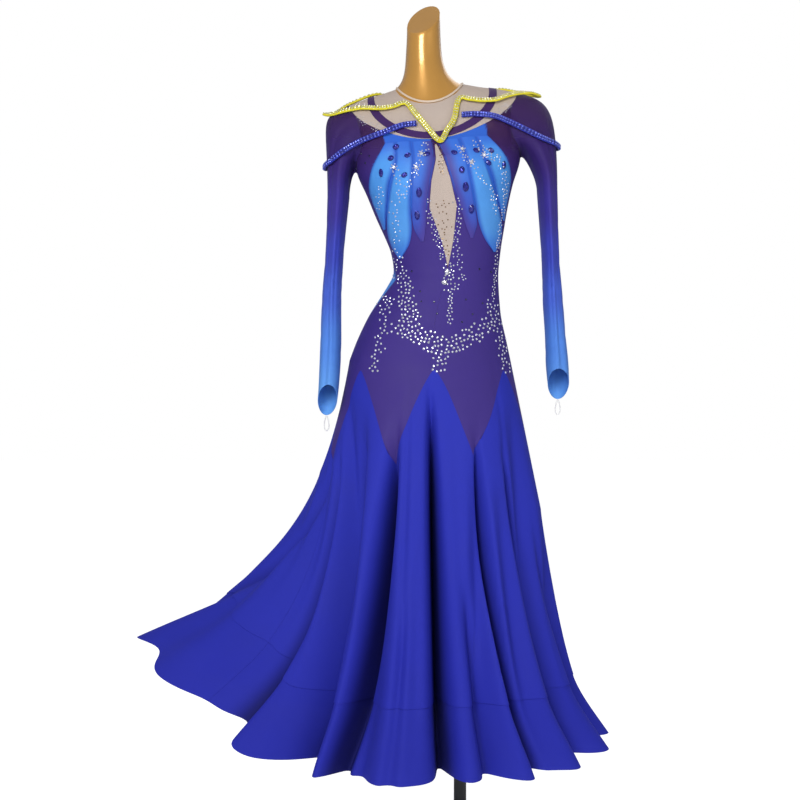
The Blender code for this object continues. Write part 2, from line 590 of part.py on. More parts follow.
def make_neck_binding():
    """The binding stands on the yoke's edge and follows the neck of the form, clear of it."""
    columns = 2 * len(yoke_angles(True)) - 2
    angles = (yoke_angles(True) + yoke_angles(False)[1:-1])
    grid = [[], []]
    for angle in angles[:columns]:
        edge = garment_point(angle, NECK_LEVEL)
        along = (neck_ring_point(FORM_NECK[0], angle) - edge).normalized()
        round_way = garment_point(angle + 0.5, NECK_LEVEL) - garment_point(angle - 0.5, NECK_LEVEL)
        out = round_way.cross(along).normalized()
        start = edge + along * (SEAM_GAP + CLOTH / 2.0) + out * BINDING_CLOTH
        grid[0].append(start)
        grid[1].append(start + along * BINDING_HEIGHT)
    return cloth_wall("neck_binding", grid, "white elastic", thickness=BINDING_CLOTH, wrap=True, gap=0.0)


def make_neckline_band():
    """The dark band, laid on the yoke all round."""
    columns = 48
    under = [layer_of("yoke_front"), layer_of("yoke_back")]
    grid = []
    for edge in (0.0, 1.0):
        row = []
        for column in range(columns):
            angle = 360.0 * column / columns
            side = abs(math.sin(math.radians(angle))) ** 2.4
            low = BAND_LOW_FRONT + (BAND_LOW_SIDE - BAND_LOW_FRONT) * side
            rise = BAND_RISE_FRONT + (BAND_RISE_SIDE - BAND_RISE_FRONT) * side
            level = low + rise * edge
            row.append(lay_on(under, garment_point(angle, level), -garment_normal(angle, level)))
        grid.append(row)
    grid = raise_clear(grid, True, under, LAYER_GAP + BAND_CLOTH / 2.0)
    return cloth_wall("neckline_band", grid, "purple stretch", thickness=BAND_CLOTH, wrap=True)


def layer_of(name):
    """The surface of a piece, for laying others on it."""
    mesh = bpy.data.objects[name].data
    return BVHTree.FromPolygons([vert.co for vert in mesh.vertices], [face.vertices for face in mesh.polygons])


def lay_on(layers, point, way, reach=0.06):
    """Where a ray through the point, coming from outside along the way, first meets one of the layers."""
    start = point - way * reach
    hits = []
    for layer in layers:
        place, _normal, _index, distance = layer.ray_cast(start, way, 2.0 * reach)
        if place is not None:
            hits.append((distance, place))
    return min(hits, key=lambda hit: hit[0])[1] if hits else point


def raise_clear(grid, wrap, layers, gap):
    """Raise a grid's points along their normals until every cell lies clear of the layers by the gap."""
    normals = grid_normals(grid, wrap)
    rows, columns = len(grid), len(grid[0])
    need = [[0.0] * columns for _ in range(rows)]
    for r in range(rows - 1):
        for c in range(columns if wrap else columns - 1):
            corners = [(r, c), (r, (c + 1) % columns), (r + 1, (c + 1) % columns), (r + 1, c)]
            for triangle in ((0, 1, 2), (0, 2, 3)):
                a, b, d = [grid[corners[k][0]][corners[k][1]] for k in triangle]
                for step in range(TRIANGLE_SAMPLES + 1):
                    for other in range(TRIANGLE_SAMPLES + 1 - step):
                        u, v = step / TRIANGLE_SAMPLES, other / TRIANGLE_SAMPLES
                        point = a + (b - a) * u + (d - a) * v
                        under = lay_on(layers, point, -normals[r][c], 0.02)
                        rise = (under - point).dot(normals[r][c]) + gap
                        for place in corners:
                            need[place[0]][place[1]] = max(need[place[0]][place[1]], rise)
    return [[grid[r][c] + normals[r][c] * need[r][c] for c in range(columns)] for r in range(rows)]


def make_petal(side, kind):
    rows = PETALS[kind]
    sign = 1.0 if side == "right" else -1.0
    heights = []
    for low, high in zip(rows, rows[1:]):
        heights += [low[0] + (high[0] - low[0]) * step / PETAL_STEPS for step in range(PETAL_STEPS)]
    heights.append(rows[-1][0])
    under = [layer_of("body_front_" + side), layer_of("yoke_front")]
    grid = []
    for height in heights:
        inner, outer = read_table(rows, height)
        places = [front_place(sign * (inner + (outer - inner) * c / PETAL_COLUMNS), height)
                  for c in range(PETAL_COLUMNS + 1)]
        line = [lay_on(under, garment_point(*place), -garment_normal(*place)) for place in places]
        grid.append(line if side == "right" else line[::-1])
    grid = raise_clear(grid, False, under, LAYER_GAP + PETAL_CLOTH / 2.0)
    return cloth_wall("petal_%s_%s" % (side, kind), grid, "sky satin", thickness=PETAL_CLOTH,
                      gap=2.0 * SEAM_GAP)


def make_stone(name, x, height, width, length):
    """A faceted stone with a flat back, seated on the petal under it."""
    angle, level = front_place(x, height)
    out = garment_normal(angle, level)
    spread = (-0.55, -0.3, 0.0, 0.3, 0.55)
    corners = [front_place(x + width * across, height + length * along) for across in spread for along in spread]
    under = [layer_of(piece.name) for piece in bpy.data.objects
             if piece.name.startswith(("body_front", "petal", "keyhole", "yoke_front"))]
    rise = max((lay_on(under, garment_point(*corner), -out) - garment_point(angle, level)).dot(out)
               for corner in corners)
    centre = garment_point(angle, level) + out * (rise + SEAM_GAP)
    across = out.cross(Vector((0.0, 0.0, 1.0))).normalized()
    up = across.cross(out).normalized()
    across = -across
    sides = STONE_SIDES
    pointed = length > width
    rings = []
    for rise, size in ((0.0, 1.0), (0.35, 1.0), (1.0, 0.55)):
        ring = []
        for step in range(sides):
            turn = 2.0 * math.pi * step / sides
            narrow = 1.0 - 0.45 * max(math.sin(turn), 0.0) if pointed else 1.0
            ring.append(centre + across * (width / 2.0 * size * narrow * math.cos(turn))
                        + up * (length / 2.0 * size * math.sin(turn)) + out * (STONE_HEIGHT * rise))
        rings.append(ring)
    points = [point for ring in rings for point in ring]
    faces = [tuple(range(sides)), tuple(range(2 * sides, 3 * sides))]
    for level_of_ring in range(2):
        for step in range(sides):
            a = level_of_ring * sides + step
            b = level_of_ring * sides + (step + 1) % sides
            faces.append((a, b, b + sides, a + sides))
    return add_solid("stone_" + name, points, faces, "clear crystal" if name.startswith("centre") else "navy crystal")


def gore_columns(first, last, coarse):
    """Angles of a gore's columns: the body panels' columns between its seams, each span cut in three."""
    marks = [angle for angle in coarse if first - 0.01 <= angle <= last + 0.01]
    columns = []
    for low, high in zip(marks, marks[1:]):
        columns += [(low, high, step / 3.0) for step in range(3)]
    columns.append((marks[-2], marks[-1], 1.0))
    return columns


def all_marks():
    marks = list(FRONT_LEFT_ANGLES[::-1]) + list(FRONT_RIGHT_ANGLES[1:])
    marks += list(BACK_RIGHT_ANGLES[-2::-1]) + [angle + 360.0 for angle in BACK_LEFT_ANGLES[1:-1]]
    marks += [angle + 360.0 for angle in FRONT_LEFT_ANGLES[::-1][:4]]
    return [angle - 360.0 for angle in marks if 180.0 <= angle <= 270.0] + marks


GORES = (("gore_front", -24.0, 28.0), ("gore_front_right", 28.0, 90.0), ("gore_back_right", 90.0, 150.0),
         ("gore_back", 150.0, 210.0), ("gore_back_left", 210.0, 270.0), ("gore_front_left", -90.0, -24.0))
GORE_ROWS = 6


def make_gore(name, first, last):
    """A gore. Its top edge runs straight between the columns of the body panels, as their lower edges do."""
    grid, normals = [], []
    for row in range(GORE_ROWS, -1, -1):
        line, line_normals = [], []
        for low, high, share in gore_columns(first, last, all_marks()):
            angle = low + (high - low) * share
            top = zigzag_level(angle)
            level = top - (BAND_START * SKIRT_LEVELS + top) * row / GORE_ROWS
            point, normal = garment_point(angle, level), garment_normal(angle, level)
            if row == 0:
                start, end = (low, zigzag_level(low)), (high, zigzag_level(high))
                point = garment_point(*start).lerp(garment_point(*end), share)
                normal = garment_normal(*start).lerp(garment_normal(*end), share).normalized()
            line.append(point)
            line_normals.append(normal)
        grid.append(line)
        normals.append(line_normals)
    return cloth_wall(name, grid, "royal crepe", normals=normals)


def make_hem_band(name, first, last):
    places = []
    for share in (1.0, BAND_START):
        places.append([(low + (high - low) * part, -share * SKIRT_LEVELS)
                       for low, high, part in gore_columns(first, last, all_marks())])
    return surface_wall(name, places, "royal crepe")


def armhole_loop(side):
    """Points of the armhole and the way that the cloth leaves it, from the underarm by the front to the back."""
    sign = 1.0 if side == "right" else -1.0
    marks = FRONT_RIGHT_ANGLES if side == "right" else FRONT_LEFT_ANGLES
    low = zigzag_level(marks[-1])
    levels = [low + (YOKE_LEVEL - low) * share for share in PANEL_ROWS[ARMHOLE_FIRST_ROW:]]
    places = [(90.0, levels[0])] + [(armhole_angle(level), level) for level in levels[1:]]
    places += [(angle, YOKE_LEVEL) for angle in SHOULDER_ANGLES]
    places += [(180.0 - armhole_angle(level), level) for level in levels[:0:-1]]
    points = [garment_point(sign * angle, level) for angle, level in places]
    middle = sum(points, Vector((0.0, 0.0, 0.0))) / len(points)
    loop = []
    for index, (angle, level) in enumerate(places):
        on_shoulder = level > YOKE_LEVEL - 0.001
        out = garment_normal(sign * angle, YOKE_LEVEL + 0.1 if on_shoulder else level)
        tangent = points[(index + 1) % len(points)] - points[index - 1]
        leave = out.cross(tangent).normalized()
        if leave.dot(middle - points[index]) < 0.0:
            leave = -leave
        leave = (leave + out * (0.0 if on_shoulder else SLEEVE_STAND)).normalized()
        loop.append((points[index], leave))
    return loop


def sleeve_ring(side, height, turn):
    """A point of the hanging sleeve: turn 0 at the body, 90 in front, 180 outside, 270 behind."""
    centre_x, half_width, centre_y, half_depth = read_table(SLEEVE_ROWS[side], height)
    sign = 1.0 if side == "right" else -1.0
    angle = math.radians(turn)
    pleat = FRONT_PLEAT * math.exp(-((turn - 110.0) / 16.0) ** 2)
    return Vector((centre_x - sign * half_width * math.cos(angle), centre_y - (half_depth - pleat) * math.sin(angle),
                   height))


def sleeve_point(side, loop, column, row):
    """A point of the sleeve by column of the armhole loop and row from the armhole down."""
    turn = 360.0 * column / len(loop)
    foot = sleeve_ring(side, SLEEVE_TOP[side], turn)
    if row <= HEAD_ROWS:
        start, leave = loop[column]
        from_underarm = turn if turn <= 180.0 else 360.0 - turn
        pull_out, pull_up = read_table(HEAD_PULL, from_underarm)
        a = start + leave * (SEAM_GAP + 0.0004)
        b = start + leave * pull_out
        c = foot + Vector((0.0, 0.0, pull_up))
        t = row / HEAD_ROWS
        return a * (1 - t) ** 3 + b * 3 * t * (1 - t) ** 2 + c * 3 * t ** 2 * (1 - t) + foot * t ** 3
    end = CUFF_MIDDLE[side] + CUFF_SLANT * math.sin(math.radians(turn))
    height = SLEEVE_TOP[side] + (end - SLEEVE_TOP[side]) * (row - HEAD_ROWS) / ARM_ROWS
    return sleeve_ring(side, height, turn)


def make_sleeve(side):
    loop = armhole_loop(side)
    order = range(len(loop))
    if side == "right":
        order = list(order)[::-1]
    grid = [[sleeve_point(side, loop, column, row) for column in order] for row in range(HEAD_ROWS + ARM_ROWS + 1)]
    return cloth_wall("sleeve_" + side, grid, "purple stretch", wrap=True, gap=0.0)


def curve_through(points, count, closed):
    """Evenly counted points on a smooth curve through a route's own points."""
    spans = len(points) if closed else len(points) - 1
    samples = []
    for index in range(count if closed else count + 1):
        place = spans * index / count
        low = min(int(place), spans - 1)
        t = place - low
        if closed:
            p = [points[(low + k) % len(points)] for k in (-1, 0, 1, 2)]
        else:
            p = [points[min(max(low + k, 0), len(points) - 1)] for k in (-1, 0, 1, 2)]
        samples.append(0.5 * (2.0 * p[1] + (p[2] - p[0]) * t + (2.0 * p[0] - 5.0 * p[1] + 4.0 * p[2] - p[3]) * t ** 2
                              + (3.0 * p[1] - p[0] - 3.0 * p[2] + p[3]) * t ** 3))
    return samples


def sweep_strip(name, stations, closed, finish):
    """A stoned strip: a flat oval swept along stations of (point, outward direction)."""
    count = len(stations)
    points = []
    for index, (point, out) in enumerate(stations):
        after = stations[(index + 1) % count][0] if closed or index < count - 1 else point
        before = stations[index - 1][0] if closed or index > 0 else point
        along = (after - before).normalized()
        wide = out.cross(along).normalized()
        thick = along.cross(wide).normalized()
        for side in range(STRIP_SIDES):
            turn = 2.0 * math.pi * (side + 0.5) / STRIP_SIDES
            points.append(point + wide * (STRIP_WIDTH / 2.0 * math.cos(turn))
                          + thick * (STRIP_THICKNESS / 2.0 * math.sin(turn)))
    faces = []
    for index in range(count if closed else count - 1):
        for side in range(STRIP_SIDES):
            a, b = index * STRIP_SIDES + side, index * STRIP_SIDES + (side + 1) % STRIP_SIDES
            c = ((index + 1) % count) * STRIP_SIDES
            faces.append((a, b, c + b % STRIP_SIDES, c + a % STRIP_SIDES))
    if not closed:
        faces.append(tuple(range(STRIP_SIDES)))
        faces.append(tuple(range((count - 1) * STRIP_SIDES, count * STRIP_SIDES)))
    return add_solid(name, points, faces, finish)


def make_strip(name, route, count, closed, finish, under_names):
    """A strip along its route, laid on the pieces under it with its clearance."""
    under = [layer_of(piece) for piece in under_names]
    points, outs = [], []
    for x, y, z, way_name, clearance in route:
        way = Vector(WAYS[way_name]).normalized()
        place = lay_on(under, Vector((x, y, z)), way, 0.25)
        points.append(place - way * (clearance + STRIP_THICKNESS / 2.0))
        outs.append(-way)
    smooth_points = curve_through(points, count, closed)
    smooth_outs = [out.normalized() for out in curve_through(outs, count, closed)]
    stations = settle_strip(list(zip(smooth_points, smooth_outs)), under, closed)
    return sweep_strip(name, stations, closed, finish)


def settle_strip(stations, under, closed):
    """Lift each station until the strip's whole width clears the cloth, with the lift evened along the strip."""
    count = len(stations)
    lifts = [0.0] * count
    for index in range(count if closed else count - 1):
        after = (index + 1) % count
        (point, out), (next_point, next_out) = stations[index], stations[after]
        wide = out.cross(next_point - point).normalized()
        need = 0.0
        for along in (0.0, 0.25, 0.5, 0.75, 1.0):
            middle = point.lerp(next_point, along)
            way = out.lerp(next_out, along).normalized()
            for across in (-0.6, -0.3, 0.0, 0.3, 0.6):
                edge = middle + wide * (STRIP_WIDTH * across)
                under_edge = lay_on(under, edge, -way, 0.03)
                if under_edge is not edge:
                    need = max(need, (under_edge - edge).dot(way) + STRIP_THICKNESS / 2.0 + STRIP_CLEARANCE)
        lifts[index] = max(lifts[index], need)
        lifts[after] = max(lifts[after], need)
    return [(point + out * lift, out) for (point, out), lift in zip(stations, lifts)]


def make_finger_loop(side):
    """An elastic loop that hangs from the cuff's point at the back."""
    tip = sleeve_ring(side, CUFF_MIDDLE[side] - CUFF_SLANT, 270.0)
    middle = tip - Vector((0.0, 0.0, LOOP_LENGTH / 2.0 + LOOP_CORD / 2.0 + SEAM_GAP))
    points, faces = [], []
    for station in range(LOOP_STATIONS):
        turn = 2.0 * math.pi * station / LOOP_STATIONS
        centre = Vector((LOOP_WIDTH / 2.0 * math.cos(turn), 0.0, LOOP_LENGTH / 2.0 * math.sin(turn)))
        outward = Vector((math.cos(turn) / LOOP_WIDTH, 0.0, math.sin(turn) / LOOP_LENGTH)).normalized()
        for side_of_cord in range(STRIP_SIDES):
            round_cord = 2.0 * math.pi * side_of_cord / STRIP_SIDES
            points.append(middle + centre + outward * (LOOP_CORD / 2.0 * math.cos(round_cord))
                          + Vector((0.0, LOOP_CORD / 2.0 * math.sin(round_cord), 0.0)))
            a, b = station * STRIP_SIDES + side_of_cord, station * STRIP_SIDES + (side_of_cord + 1) % STRIP_SIDES
            c = (station + 1) % LOOP_STATIONS * STRIP_SIDES
            faces.append((a, b, c + b % STRIP_SIDES, c + a % STRIP_SIDES))
    return add_solid("finger_loop_" + side, points, faces, "white elastic")


def make_form_torso():
    rings = []
    on_yoke = yoke_angles(True) + yoke_angles(False)[1:-1]
    columns = len(on_yoke)
    steps = [360.0 * column / columns - 90.0 for column in range(columns)]
    for height, centre, half_width, front, back in FORM_BOTTOM:
        ring = []
        for angle in steps:
            x, y, z = ring_point((height, height, height, half_width, front, back, 2.05), angle)
            ring.append(Vector((centre + x, y, z)))
        rings.append(ring)
    for level in FORM_LEVELS:
        ring = []
        for even, matched in zip(steps, on_yoke):
            angle = even + (matched - even) * smoothstep(ARMPIT_LEVEL, YOKE_LEVEL, level)
            inset = SHOULDER_CLEARANCE
            if level < YOKE_LEVEL:
                off_side = (abs(turn_between(angle, 0.0)) - 90.0) / 34.0
                arm = smoothstep(ARMPIT_LEVEL - 1.0, ARMPIT_LEVEL + 0.8, level) * math.exp(-off_side ** 2)
                inset = FORM_CLEARANCE + FORM_ARM_INSET * arm
            inward = -garment_normal(angle, min(level + 0.03, NECK_LEVEL))
            ring.append(garment_point(angle, level) + inward * (CLOTH / 2.0 + inset))
        rings.append(ring)
    for row in FORM_NECK:
        rings.append([neck_ring_point(row, angle) for angle in on_yoke])
    points = [point for ring in rings for point in ring]
    faces = [tuple(range(columns)), tuple(range((len(rings) - 1) * columns, len(rings) * columns))]
    for r in range(len(rings) - 1):
        for c in range(columns):
            a, b = r * columns + c, r * columns + (c + 1) % columns
            faces.append((a, b, b + columns, a + columns))
    return add_solid("form_torso", points, faces, "gold shell")


def turned_solid(name, profile, sides, finish):
    """A solid turned round the Z axis from (radius, height) rows, with flat ends."""
    points, faces = [], []
    for radius, height in profile:
        for side in range(sides):
            turn = 2.0 * math.pi * side / sides
            points.append(Vector((radius * math.cos(turn), radius * math.sin(turn), height)))
    for ring in range(len(profile) - 1):
        for side in range(sides):
            a, b = ring * sides + side, ring * sides + (side + 1) % sides
            faces.append((a, b, b + sides, a + sides))
    faces.append(tuple(range(sides)))
    faces.append(tuple(range((len(profile) - 1) * sides, len(profile) * sides)))
    return add_solid(name, points, faces, finish)


def make_stand():
    turned_solid("form_base", ((BASE_RADIUS, 0.0), (BASE_RADIUS, BASE_HEIGHT - BASE_EDGE),
                               (BASE_RADIUS - BASE_EDGE, BASE_HEIGHT)), 48, "dark metal")
    top = FORM_BOTTOM[0][0] - SEAM_GAP
    turned_solid("form_pole", ((POLE_RADIUS, BASE_HEIGHT + SEAM_GAP), (POLE_RADIUS, top)), 20, "dark metal")


def clear_scene():
    for piece in list(bpy.data.objects):
        bpy.data.objects.remove(piece)


def main():
    clear_scene()
    make_body_panel("body_front_right", FRONT_RIGHT_ANGLES)
    make_body_panel("body_front_left", FRONT_LEFT_ANGLES)
    make_body_panel("body_back_right", BACK_RIGHT_ANGLES)
    make_body_panel("body_back_left", BACK_LEFT_ANGLES)
    make_keyhole_insert()
    make_yoke("yoke_front", True)
    make_yoke("yoke_back", False)
    make_neck_binding()
    make_neckline_band()
    for side in ("left", "right"):
        for kind in PETALS:
            make_petal(side, kind)
        make_sleeve(side)
        make_finger_loop(side)
    for stone in STONES:
        make_stone(*stone)
    dressed = [piece.name for piece in bpy.data.objects if not piece.name.startswith("finger")]
    make_strip("trim_yellow", YELLOW_ROUTE, YELLOW_STATIONS, True, "yellow stones", dressed)
    make_strip("trim_blue", BLUE_ROUTE, BLUE_STATIONS, False, "blue stones", dressed + ["trim_yellow"])
    for gore in GORES:
        make_gore(*gore)
    make_hem_band("hem_band_front", -90.0, 90.0)
    make_hem_band("hem_band_back", 90.0, 270.0)
    make_form_torso()
    make_stand()


main()
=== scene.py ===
"""Ballroom dance dress on a limbless dress form: fine cloth, stones, finishes, stand and a plain studio.

Every cloth piece is a thin closed wall on one garment surface, garment_point(angle, level), as the solids
are. Angle is in degrees round the body: 0 at the centre front, +90 at the side on +X, 180 at the back.
Level 0 is the hip, the levels above it are the rows of BODY_RINGS, and the levels below it are the skirt.
"""
import json
import math
import random

import bmesh
import bpy
from bpy.props import FloatProperty, FloatVectorProperty, IntProperty, PointerProperty
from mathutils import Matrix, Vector
from mathutils.bvhtree import BVHTree

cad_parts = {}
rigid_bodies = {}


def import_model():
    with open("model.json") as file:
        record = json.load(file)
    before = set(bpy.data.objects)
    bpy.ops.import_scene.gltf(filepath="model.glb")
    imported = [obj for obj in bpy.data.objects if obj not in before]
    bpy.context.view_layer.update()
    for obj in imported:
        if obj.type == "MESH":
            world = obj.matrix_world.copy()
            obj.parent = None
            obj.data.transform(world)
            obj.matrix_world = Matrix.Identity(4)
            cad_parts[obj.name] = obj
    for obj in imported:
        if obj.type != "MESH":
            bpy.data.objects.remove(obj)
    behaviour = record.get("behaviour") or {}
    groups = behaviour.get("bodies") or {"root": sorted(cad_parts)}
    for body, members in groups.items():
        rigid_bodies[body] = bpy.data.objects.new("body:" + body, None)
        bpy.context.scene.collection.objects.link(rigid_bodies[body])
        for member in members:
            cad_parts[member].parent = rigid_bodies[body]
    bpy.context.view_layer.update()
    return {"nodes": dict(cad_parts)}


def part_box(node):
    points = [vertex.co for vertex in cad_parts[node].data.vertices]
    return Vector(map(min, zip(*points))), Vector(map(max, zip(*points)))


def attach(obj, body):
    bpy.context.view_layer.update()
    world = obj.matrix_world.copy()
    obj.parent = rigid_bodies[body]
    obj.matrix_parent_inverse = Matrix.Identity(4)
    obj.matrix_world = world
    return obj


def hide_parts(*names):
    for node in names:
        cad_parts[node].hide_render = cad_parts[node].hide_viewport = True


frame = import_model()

bl_info = {
    "name": "Ballroom Dance Dress",
    "version": (1, 0, 0),
    "blender": (4, 5, 0),
    "location": "View3D > Sidebar > Dance Dress",
    "description": "Builds a ballroom dance dress with its stones on a limbless dress form",
    "category": "Object",
}

SEAM_GAP = 0.0003
MESH_CLOTH, BINDING_CLOTH, LEAF_CLOTH, SLEEVE_CLOTH, HEM_CLOTH = 0.0006, 0.0014, 0.0007, 0.0008, 0.0010
BAND_LIFT, HEM_LIFT = 0.0010, -0.0014

# Rows and columns of the cloth grids
KEYHOLE_GRID, YOKE_GRID, BAND_GRID, LEAF_GRID, HEM_GRID = (208, 12), (30, 120), (8, 180), (60, 12), (18, 400)
# Rows of a body panel, its columns from the centre line to the tip, and its columns from there to the side
BODY_GRID = (104, 14, 30)
# Rows of the sleeve's head, rows of its arm, columns
SLEEVE_GRID = (34, 84, 96)
GORE_ROWS, GORE_COLUMN_ANGLE, BINDING_COLUMNS, LOOP_STATIONS = 72, 0.45, 144, 64

# Rings of the body: height in front, at the side and behind, centre x, half width, depth in front and
# behind, squareness
BODY_RINGS = (
    (0.960, 0.960, 0.960, -0.0600, 0.1600, 0.124, 0.128, 2.05),
    (1.000, 1.000, 1.000, -0.0565, 0.1480, 0.117, 0.118, 2.05),
    (1.043, 1.043, 1.043, -0.0510, 0.1330, 0.108, 0.104, 2.05),
    (1.080, 1.080, 1.080, -0.0420, 0.1200, 0.100, 0.092, 2.05),
    (1.115, 1.115, 1.115, -0.0330, 0.1090, 0.093, 0.083, 2.05),
    (1.140, 1.140, 1.140, -0.0275, 0.1045, 0.089, 0.079, 2.05),
    (1.180, 1.180, 1.180, -0.0275, 0.1095, 0.092, 0.080, 2.10),
    (1.210, 1.210, 1.210, -0.0305, 0.1175, 0.096, 0.083, 2.10),
    (1.254, 1.254, 1.254, -0.0365, 0.1310, 0.104, 0.089, 2.15),
    (1.300, 1.300, 1.300, -0.0405, 0.1455, 0.108, 0.094, 2.20),
    (1.344, 1.344, 1.344, -0.0430, 0.1620, 0.106, 0.097, 2.30),
    (1.358, 1.392, 1.380, -0.0460, 0.1680, 0.102, 0.097, 2.50),
    (1.373, 1.440, 1.415, -0.0500, 0.1700, 0.095, 0.095, 2.60),
    (1.388, 1.481, 1.450, -0.0535, 0.1670, 0.088, 0.088, 2.50),
    (1.415, 1.491, 1.478, -0.0560, 0.1320, 0.079, 0.074, 2.30),
    (1.440, 1.498, 1.498, -0.0585, 0.0980, 0.070, 0.060, 2.10),
    (1.463, 1.506, 1.513, -0.0600, 0.0670, 0.058, 0.048, 2.00),
)
FRONT_LOW_LEVEL, ARMPIT_LEVEL, YOKE_LEVEL, NECK_LEVEL = 3.0, 10.14, 13.0, 16.0
FRONT_HEIGHT_POWER = 1.6
LEAN, LEAN_START, LEAN_FULL = 0.075, 1.05, 1.18
BUST_X, BUST_Z, BUST_OUT, BUST_WIDTH, BUST_HEIGHT = 0.062, 1.300, 0.013, 0.045, 0.048

# Skirt rows: hip angle, hem angle, reach from the hem centre, hem height, straight share of the flare,
# power of the rest of it
SKIRT_LEVELS = 18.0
HEM_CENTRE_X, BAND_START, BAND_KICK, BAND_TUCK = -0.080, 0.845, 0.016, 0.008
HEM_ROWS = (
    (-180.0, -180.0, 0.400, 0.206, 0.55, 3.0), (-145.0, -126.0, 0.430, 0.240, 0.45, 3.4),
    (-115.0, -92.0, 0.560, 0.405, 0.35, 3.7), (-92.0, -66.0, 0.500, 0.325, 0.38, 3.6),
    (-78.0, -50.0, 0.440, 0.240, 0.42, 3.4), (-70.0, -38.0, 0.420, 0.212, 0.48, 3.2),
    (-45.0, -28.0, 0.412, 0.206, 0.52, 3.0), (-24.0, -19.0, 0.405, 0.206, 0.55, 3.0),
    (4.0, 6.0, 0.400, 0.206, 0.58, 3.0), (29.0, 19.5, 0.400, 0.206, 0.60, 3.0),
    (40.0, 38.0, 0.415, 0.206, 0.64, 4.0), (60.0, 56.0, 0.410, 0.210, 0.70, 6.0),
    (90.0, 88.0, 0.372, 0.222, 0.78, 9.0), (130.0, 130.0, 0.390, 0.210, 0.65, 5.0),
    (180.0, 180.0, 0.400, 0.206, 0.55, 3.0),
)
# Power of the folds' growth, share over which a valley grows in, valley depth at which the painted valley
# shade is full, slant of the small creases
FOLD_GROWTH, VALLEY_GROWTH, VALLEY_FULL_SHADE, CREASE_SLANT = 0.9, 0.45, 0.060, 3.0
# Main folds: hem angle, half width in degrees, depth at the hem, start between hip 0 and hem 1
SKIRT_FOLDS = (
    (-62.0, 8.0, 0.065, 0.30), (-38.0, 7.0, 0.115, 0.10), (-19.0, 5.0, 0.070, 0.24), (6.0, 6.0, 0.050, 0.08),
    (20.0, 5.0, 0.060, 0.24), (38.0, 6.5, 0.060, 0.30), (56.0, 8.0, 0.085, 0.12), (76.0, 6.0, 0.070, 0.40),
    (98.0, 8.0, 0.090, 0.20), (118.0, 7.0, 0.080, 0.30), (138.0, 7.0, 0.095, 0.22), (158.0, 7.0, 0.075, 0.30),
    (179.0, 7.0, 0.095, 0.15), (-160.0, 7.0, 0.080, 0.30), (-141.0, 7.0, 0.095, 0.22),
    (-122.0, 7.0, 0.085, 0.30), (-103.0, 6.0, 0.075, 0.40), (-82.0, 6.0, 0.050, 0.40),
)
# Small creases between the main folds: hem angle, half width in degrees, depth, middle, half length
SKIRT_CREASES = (
    (-29.0, 2.2, 0.007, 0.62, 0.30), (-10.0, 2.0, 0.006, 0.45, 0.28), (-3.0, 2.4, 0.008, 0.80, 0.22),
    (13.0, 2.0, 0.006, 0.55, 0.30), (29.0, 2.6, 0.008, 0.70, 0.26), (47.0, 2.2, 0.007, 0.50, 0.30),
    (66.0, 2.4, 0.008, 0.72, 0.25), (87.0, 2.4, 0.007, 0.60, 0.28), (108.0, 2.4, 0.008, 0.66, 0.28),
    (128.0, 2.2, 0.007, 0.52, 0.30), (148.0, 2.4, 0.008, 0.70, 0.26), (168.0, 2.2, 0.006, 0.58, 0.28),
    (-170.0, 2.2, 0.007, 0.66, 0.26), (-150.0, 2.4, 0.008, 0.56, 0.28), (-131.0, 2.2, 0.006, 0.72, 0.24),
    (-112.0, 2.4, 0.008, 0.60, 0.28), (-92.0, 2.2, 0.007, 0.74, 0.24), (-72.0, 2.6, 0.008, 0.64, 0.26),
    (-50.0, 2.6, 0.009, 0.70, 0.28),
)
# Narrow valleys inside the folds: hem angle at the start and at the hem, half width in degrees, depth, start
SKIRT_VALLEYS = (
    (2.0, 6.5, 2.3, 0.090, 0.03), (-17.0, -25.0, 2.8, 0.085, 0.12), (20.5, 34.0, 2.4, 0.080, 0.14),
    (-30.0, -38.0, 2.8, 0.065, 0.10), (-50.0, -57.0, 3.0, 0.050, 0.22), (44.0, 57.0, 2.6, 0.065, 0.18),
    (14.0, 19.5, 2.0, 0.022, 0.50), (-8.0, -8.5, 1.8, 0.012, 0.55), (66.0, 76.0, 2.8, 0.030, 0.40),
    (-58.0, -97.0, 3.0, 0.026, 0.20), (88.0, 98.0, 3.0, 0.035, 0.25), (114.0, 118.0, 3.0, 0.035, 0.30),
    (136.0, 138.0, 2.8, 0.040, 0.22), (157.0, 158.0, 2.8, 0.030, 0.30), (180.0, 179.0, 2.8, 0.040, 0.14),
    (-158.0, -160.0, 2.8, 0.030, 0.30), (-139.0, -141.0, 2.8, 0.040, 0.22),
    (-121.0, -122.0, 2.8, 0.035, 0.30), (-100.0, -103.0, 2.8, 0.030, 0.35),
)
# Creases of the stretch body: angle, level, half width in degrees, half length in levels, slant, height
BODY_CREASES = (
    (-62.0, 5.2, 16.0, 0.28, 0.020, -0.0012), (-50.0, 4.4, 15.0, 0.26, 0.018, -0.0010),
    (58.0, 5.6, 15.0, 0.26, -0.020, -0.0012), (50.0, 4.7, 15.0, 0.24, -0.018, -0.0009),
    (-120.0, 5.3, 18.0, 0.30, 0.016, -0.0013), (122.0, 5.5, 18.0, 0.28, -0.016, -0.0013),
    (180.0, 4.8, 22.0, 0.26, 0.0, -0.0012), (-76.0, 10.6, 9.0, 0.35, 0.050, -0.0014),
    (74.0, 10.7, 9.0, 0.35, -0.050, -0.0014), (-30.0, 1.6, 10.0, 0.50, 0.030, -0.0010),
    (34.0, 1.4, 10.0, 0.50, -0.030, -0.0010), (-66.0, 0.4, 10.0, 0.70, 0.040, -0.0012),
)

